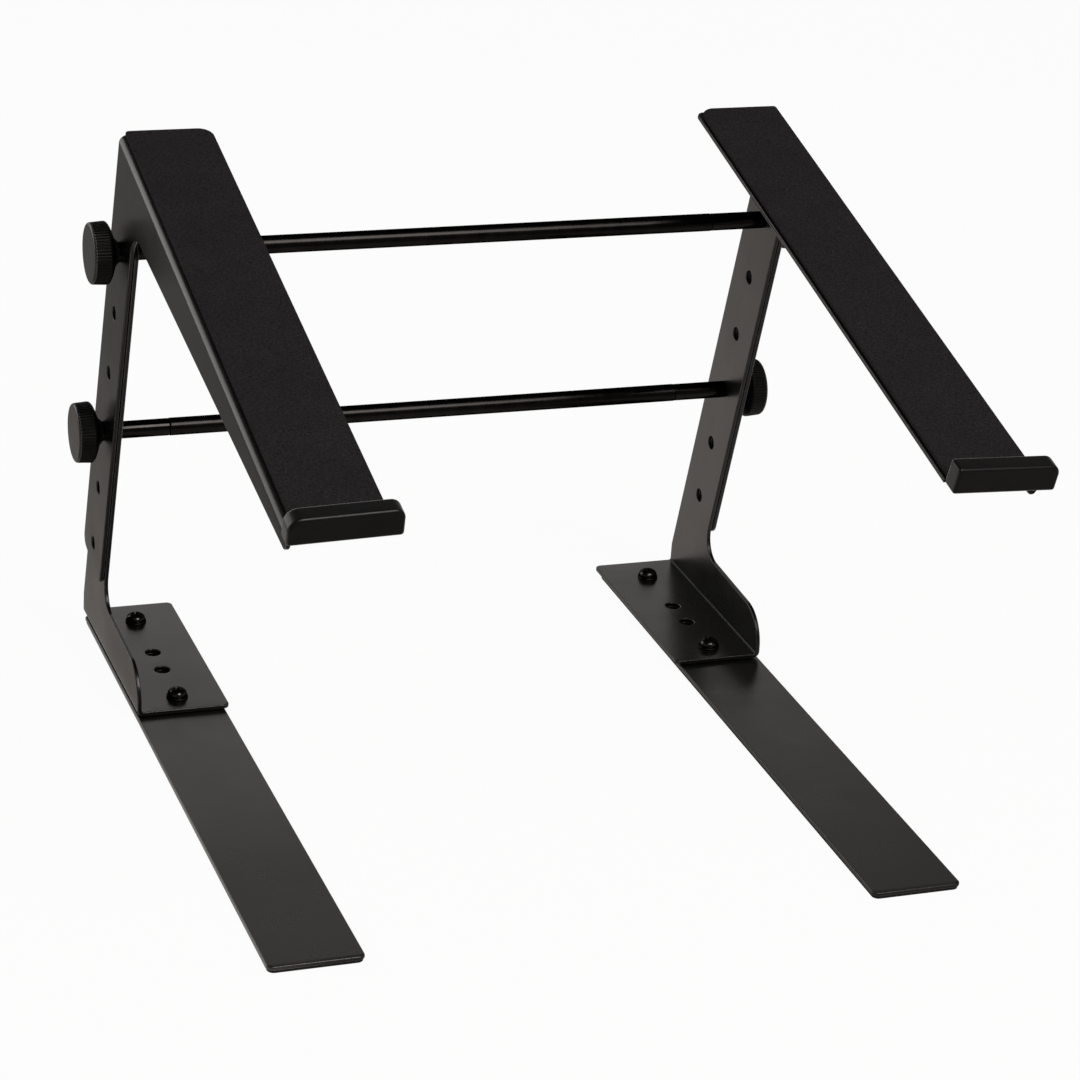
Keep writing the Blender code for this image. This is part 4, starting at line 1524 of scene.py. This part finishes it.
@dataclass
class Studio:
    """Pale floor, soft lamps, white surroundings and the camera."""

    camera_place: Vector = field(default_factory=lambda: Vector((-0.439559, -1.170436, 0.645106)))
    yaw: float = math.radians(20.974)
    pitch: float = math.radians(-23.609)
    roll: float = math.radians(4.036)
    lens: float = 113.941
    sensor: float = 36.0
    floor_size: float = 30.0
    floor_colour: Colour = (0.90, 0.90, 0.90)
    floor_glow: float = 0.95
    floor_gleam: float = 0.90
    pool_colour: Colour = (1.0, 0.92, 0.85)
    pool_across: tuple[float, float] = (-0.30, -0.03)
    pool_across_light: tuple[float, float] = (0.09, 0.66)
    pool_depth: tuple[float, float] = (-0.22, 0.24)
    pool_depth_light: tuple[float, float] = (0.12, 1.0)
    # Painted light on the floor, seen only in mirrors: a bright apron beside the left foot and a narrow bright strip
    # along its outer side, whose painted reflection lightens the foot's side.
    apron_across: tuple[float, float] = (-0.141, -0.110)
    apron_across_light: tuple[float, float] = (1.0, 0.34)
    apron_front: tuple[float, float] = (-0.24, -0.19)
    apron_back: tuple[float, float] = (-0.02, 0.05)
    strip_outside: tuple[float, float] = (-0.1414, -0.1405)
    strip_inside: tuple[float, float] = (-0.1388, -0.1384)
    world_light: float = 0.25
    room_light: float = 0.12
    sweep_colour: Colour = (1.0, 0.965, 0.935)
    sweep_middle: Vector = field(default_factory=lambda: Vector((0.12, 0.965, 0.255)))
    sweep_across: tuple[float, float] = (0.87, 0.99)
    sweep_upward: tuple[float, float] = (0.42, 0.58)
    lamps: tuple[Softbox, ...] = (
        Softbox("key", (0.25, -1.25, 1.65), 1.05, 22.0, (1.0, 0.955, 0.92)),
        Softbox("rim", (-0.76, 0.76, 0.36), 0.70, 2.7, (1.0, 0.965, 0.935)),
    )

    def build(self) -> None:
        """Set up the floor, the surroundings, the lamps and the camera."""
        bpy.context.scene.view_settings.view_transform = "Standard"
        self._floor()
        self._surroundings()
        for lamp in self.lamps:
            lamp.build(Vector((0.0, 0.0, 0.12)))
        self._camera()

    @staticmethod
    def _seen(tree: bpy.types.NodeTree, direct: float, mirrored: float) -> bpy.types.NodeSocket:
        """Pick out the rays that show the background.

        Args:
            tree: The node tree that gets the nodes.
            direct: Result for a ray from the camera.
            mirrored: Result for a ray that gloss or glass sends on.

        Returns:
            Socket with the result, which is 0 for the rays that only carry light.
        """
        path = tree.nodes.new("ShaderNodeLightPath")
        result = None
        for name, share in (("Is Camera Ray", direct), ("Is Glossy Ray", mirrored), ("Is Transmission Ray", mirrored)):
            part = tree.nodes.new("ShaderNodeMath")
            part.operation = "MULTIPLY"
            part.inputs[1].default_value = share
            tree.links.new(path.outputs[name], part.inputs[0])
            if result is None:
                result = part.outputs[0]
                continue
            most = tree.nodes.new("ShaderNodeMath")
            most.operation = "MAXIMUM"
            tree.links.new(result, most.inputs[0])
            tree.links.new(part.outputs[0], most.inputs[1])
            result = most.outputs[0]
        return result

    def _floor(self) -> None:
        """Lay the floor, white to look at, with the stand's shadow on it."""
        bm = bmesh.new()
        bmesh.ops.create_grid(bm, x_segments=8, y_segments=8, size=self.floor_size / 2)
        mesh = bpy.data.meshes.new("floor")
        bm.to_mesh(mesh)
        bm.free()
        floor = bpy.data.objects.new("floor", mesh)
        bpy.context.scene.collection.objects.link(floor)
        material = bpy.data.materials.new("studio_floor")
        material.use_nodes = True
        tree = material.node_tree
        paper = tree.nodes["Principled BSDF"]
        paper.inputs["Base Color"].default_value = (*self.floor_colour, 1.0)
        paper.inputs["Roughness"].default_value = 0.9
        paper.inputs["Specular IOR Level"].default_value = 0.0
        glow = tree.nodes.new("ShaderNodeEmission")
        tree.links.new(self._pool(tree), glow.inputs["Color"])
        mix = tree.nodes.new("ShaderNodeMixShader")
        tree.links.new(self._seen(tree, self.floor_glow, self.floor_gleam), mix.inputs[0])
        tree.links.new(paper.outputs["BSDF"], mix.inputs[1])
        tree.links.new(glow.outputs["Emission"], mix.inputs[2])
        tree.links.new(mix.outputs["Shader"], tree.nodes["Material Output"].inputs["Surface"])
        mesh.materials.append(material)

    def _pool(self, tree: bpy.types.NodeTree) -> bpy.types.NodeSocket:
        """Socket with the floor's light: white to look at, and in mirrors a warm pool behind the stand, with painted
        light beside the left foot and along its outer side.
        """
        place = tree.nodes.new("ShaderNodeSeparateXYZ")
        tree.links.new(tree.nodes.new("ShaderNodeNewGeometry").outputs["Position"], place.inputs[0])
        across = self._fade(tree, place.outputs["X"], self.pool_across, self.pool_across_light)
        depth = self._fade(tree, place.outputs["Y"], self.pool_depth, self.pool_depth_light)
        pool = self._product(tree, across, depth)
        beside = self._fade(tree, place.outputs["X"], self.apron_across, self.apron_across_light)
        start = self._fade(tree, place.outputs["Y"], self.apron_front, (0.0, 1.0))
        end = self._fade(tree, place.outputs["Y"], self.apron_back, (1.0, 0.0))
        apron = self._product(tree, beside, self._product(tree, start, end))
        outside = self._fade(tree, place.outputs["X"], self.strip_outside, (0.0, 1.0))
        inside = self._fade(tree, place.outputs["X"], self.strip_inside, (1.0, 0.0))
        strip = self._product(tree, outside, inside)
        near = self._product(tree, apron, strip, "MAXIMUM")
        return self._white_to_look_at(tree, self.pool_colour, self._product(tree, pool, near, "MAXIMUM"))

    def _surroundings(self) -> None:
        """Make the world a lit sweep behind the stand, which fades into a dimmer room above and in front."""
        world = bpy.data.worlds.new("studio")
        world.use_nodes = True
        bpy.context.scene.world = world
        tree = world.node_tree
        light = tree.nodes["Background"]
        light.inputs["Color"].default_value = (*self.sweep_colour, 1.0)
        light.inputs["Strength"].default_value = self.world_light
        sweep = tree.nodes.new("ShaderNodeBackground")
        tree.links.new(self._white_to_look_at(tree, self.sweep_colour, self._sweep(tree)), sweep.inputs["Color"])
        mix = tree.nodes.new("ShaderNodeMixShader")
        tree.links.new(self._seen(tree, 1.0, 1.0), mix.inputs[0])
        tree.links.new(light.outputs["Background"], mix.inputs[1])
        tree.links.new(sweep.outputs["Background"], mix.inputs[2])
        tree.links.new(mix.outputs["Shader"], tree.nodes["World Output"].inputs["Surface"])

    def _sweep(self, tree: bpy.types.NodeTree) -> bpy.types.NodeSocket:
        """Socket with the brightness of the surroundings in each direction."""
        direction = tree.nodes.new("ShaderNodeTexCoord").outputs["Generated"]
        facing = tree.nodes.new("ShaderNodeVectorMath")
        facing.operation = "DOT_PRODUCT"
        facing.inputs[1].default_value = self.sweep_middle.normalized()
        tree.links.new(direction, facing.inputs[0])
        height = tree.nodes.new("ShaderNodeSeparateXYZ")
        tree.links.new(direction, height.inputs[0])
        across = self._fade(tree, facing.outputs["Value"], self.sweep_across, (self.room_light, 1.0))
        upward = self._fade(tree, height.outputs["Z"], self.sweep_upward, (1.0, self.room_light))
        return self._product(tree, across, upward)

    @staticmethod
    def _white_to_look_at(tree: bpy.types.NodeTree, colour: Colour, light: bpy.types.NodeSocket) -> bpy.types.NodeSocket:
        """Make a light's colour, plain white for the camera.

        Args:
            tree: The node tree that gets the nodes.
            colour: Colour that gloss and glass show.
            light: Socket with the strength of that colour.

        Returns:
            Socket with the colour.
        """
        lit = tree.nodes.new("ShaderNodeVectorMath")
        lit.operation = "SCALE"
        lit.inputs[0].default_value = colour
        tree.links.new(light, lit.inputs["Scale"])
        white = tree.nodes.new("ShaderNodeVectorMath")
        white.operation = "MAXIMUM"
        tree.links.new(lit.outputs["Vector"], white.inputs[0])
        tree.links.new(tree.nodes.new("ShaderNodeLightPath").outputs["Is Camera Ray"], white.inputs[1])
        return white.outputs["Vector"]

    @staticmethod
    def _product(tree: bpy.types.NodeTree, first: bpy.types.NodeSocket, second: bpy.types.NodeSocket,
                 operation: str = "MULTIPLY") -> bpy.types.NodeSocket:
        """Socket with the product of two sockets, or what another operation makes of them."""
        node = tree.nodes.new("ShaderNodeMath")
        node.operation = operation
        tree.links.new(first, node.inputs[0])
        tree.links.new(second, node.inputs[1])
        return node.outputs[0]

    @staticmethod
    def _fade(tree: bpy.types.NodeTree, value: bpy.types.NodeSocket, limits: tuple[float, float],
              ends: tuple[float, float]) -> bpy.types.NodeSocket:
        """Socket that goes smoothly from one end to the other while a value passes between limits."""
        node = tree.nodes.new("ShaderNodeMapRange")
        node.interpolation_type = "SMOOTHSTEP"
        names = ("From Min", "From Max", "To Min", "To Max")
        for name, number in zip(names, (*limits, *ends)):
            node.inputs[name].default_value = number
        tree.links.new(value, node.inputs["Value"])
        return node.outputs["Result"]

    def _camera(self) -> None:
        """Place the camera at the photograph's viewing angle."""
        ahead = Vector((math.sin(self.yaw) * math.cos(self.pitch), math.cos(self.yaw) * math.cos(self.pitch),
                        math.sin(self.pitch)))
        level = Vector((math.cos(self.yaw), -math.sin(self.yaw), 0.0))
        upright = level.cross(ahead)
        right = level * math.cos(self.roll) + upright * math.sin(self.roll)
        up = upright * math.cos(self.roll) - level * math.sin(self.roll)
        camera = bpy.data.cameras.new("camera")
        camera.sensor_width = self.sensor
        camera.lens = self.lens
        camera.clip_start, camera.clip_end = 0.05, 100.0
        thing = bpy.data.objects.new("camera", camera)
        thing.matrix_world = Matrix.Translation(self.camera_place) @ Matrix((right, up, -ahead)).transposed().to_4x4()
        bpy.context.scene.collection.objects.link(thing)
        bpy.context.scene.camera = thing


@dataclass(frozen=True)
class FrontFit:
    """How one side's pad, rubber cap and web tip were put on by hand."""

    pad_inner: float
    pad_outer: float
    tip_along: float
    tip_up: float
    splay: float
    cap_tilt: float
    cap_shift: float
    cap_slide: float
    cap_front: float
    cap_inner_corner: float
    cap_outer_corner: float


FITS = {
    Side.LEFT: FrontFit(pad_inner=104.35 * MM, pad_outer=139.25 * MM, tip_along=263.0 * MM, tip_up=-9.7 * MM,
                        splay=0.6 * MM, cap_tilt=math.radians(1.5), cap_shift=0.45 * MM, cap_slide=-0.3 * MM,
                        cap_front=267.5 * MM, cap_inner_corner=4.0 * MM, cap_outer_corner=5.5 * MM),
    Side.RIGHT: FrontFit(pad_inner=105.3 * MM, pad_outer=139.9 * MM, tip_along=267.5 * MM, tip_up=-10.8 * MM,
                         splay=0.4 * MM, cap_tilt=math.radians(2.6), cap_shift=-1.45 * MM, cap_slide=1.9 * MM,
                         cap_front=267.7 * MM, cap_inner_corner=1.4 * MM, cap_outer_corner=4.0 * MM),
}


def main() -> None:
    """Build the stand's pieces in order, and the studio round them."""
    logging.basicConfig(level=logging.INFO, format="%(name)s: %(message)s")
    Studio().build()
    for side in Side:
        hand = FITS[side]
        Foot(side).build()
        LowerBracket(side).build()
        for end in FlangeEnd:
            FlangeScrew(side, end).build()
        bracket = UpperBracket(side, hand.tip_along, hand.tip_up, hand.splay)
        bracket.build()
        PlatformPad(side, bracket.back, hand.pad_inner, hand.pad_outer).build()
        FrontLip(side, bracket, hand.cap_tilt, hand.cap_shift, hand.cap_slide, hand.cap_front,
                 hand.cap_inner_corner, hand.cap_outer_corner).build()
    for level in Level:
        Crossbar(level).build()
        for side in Side:
            BarEnd(level, side).build()
            ThumbKnob(level, side).build()


if __name__ == "__main__":
    main()
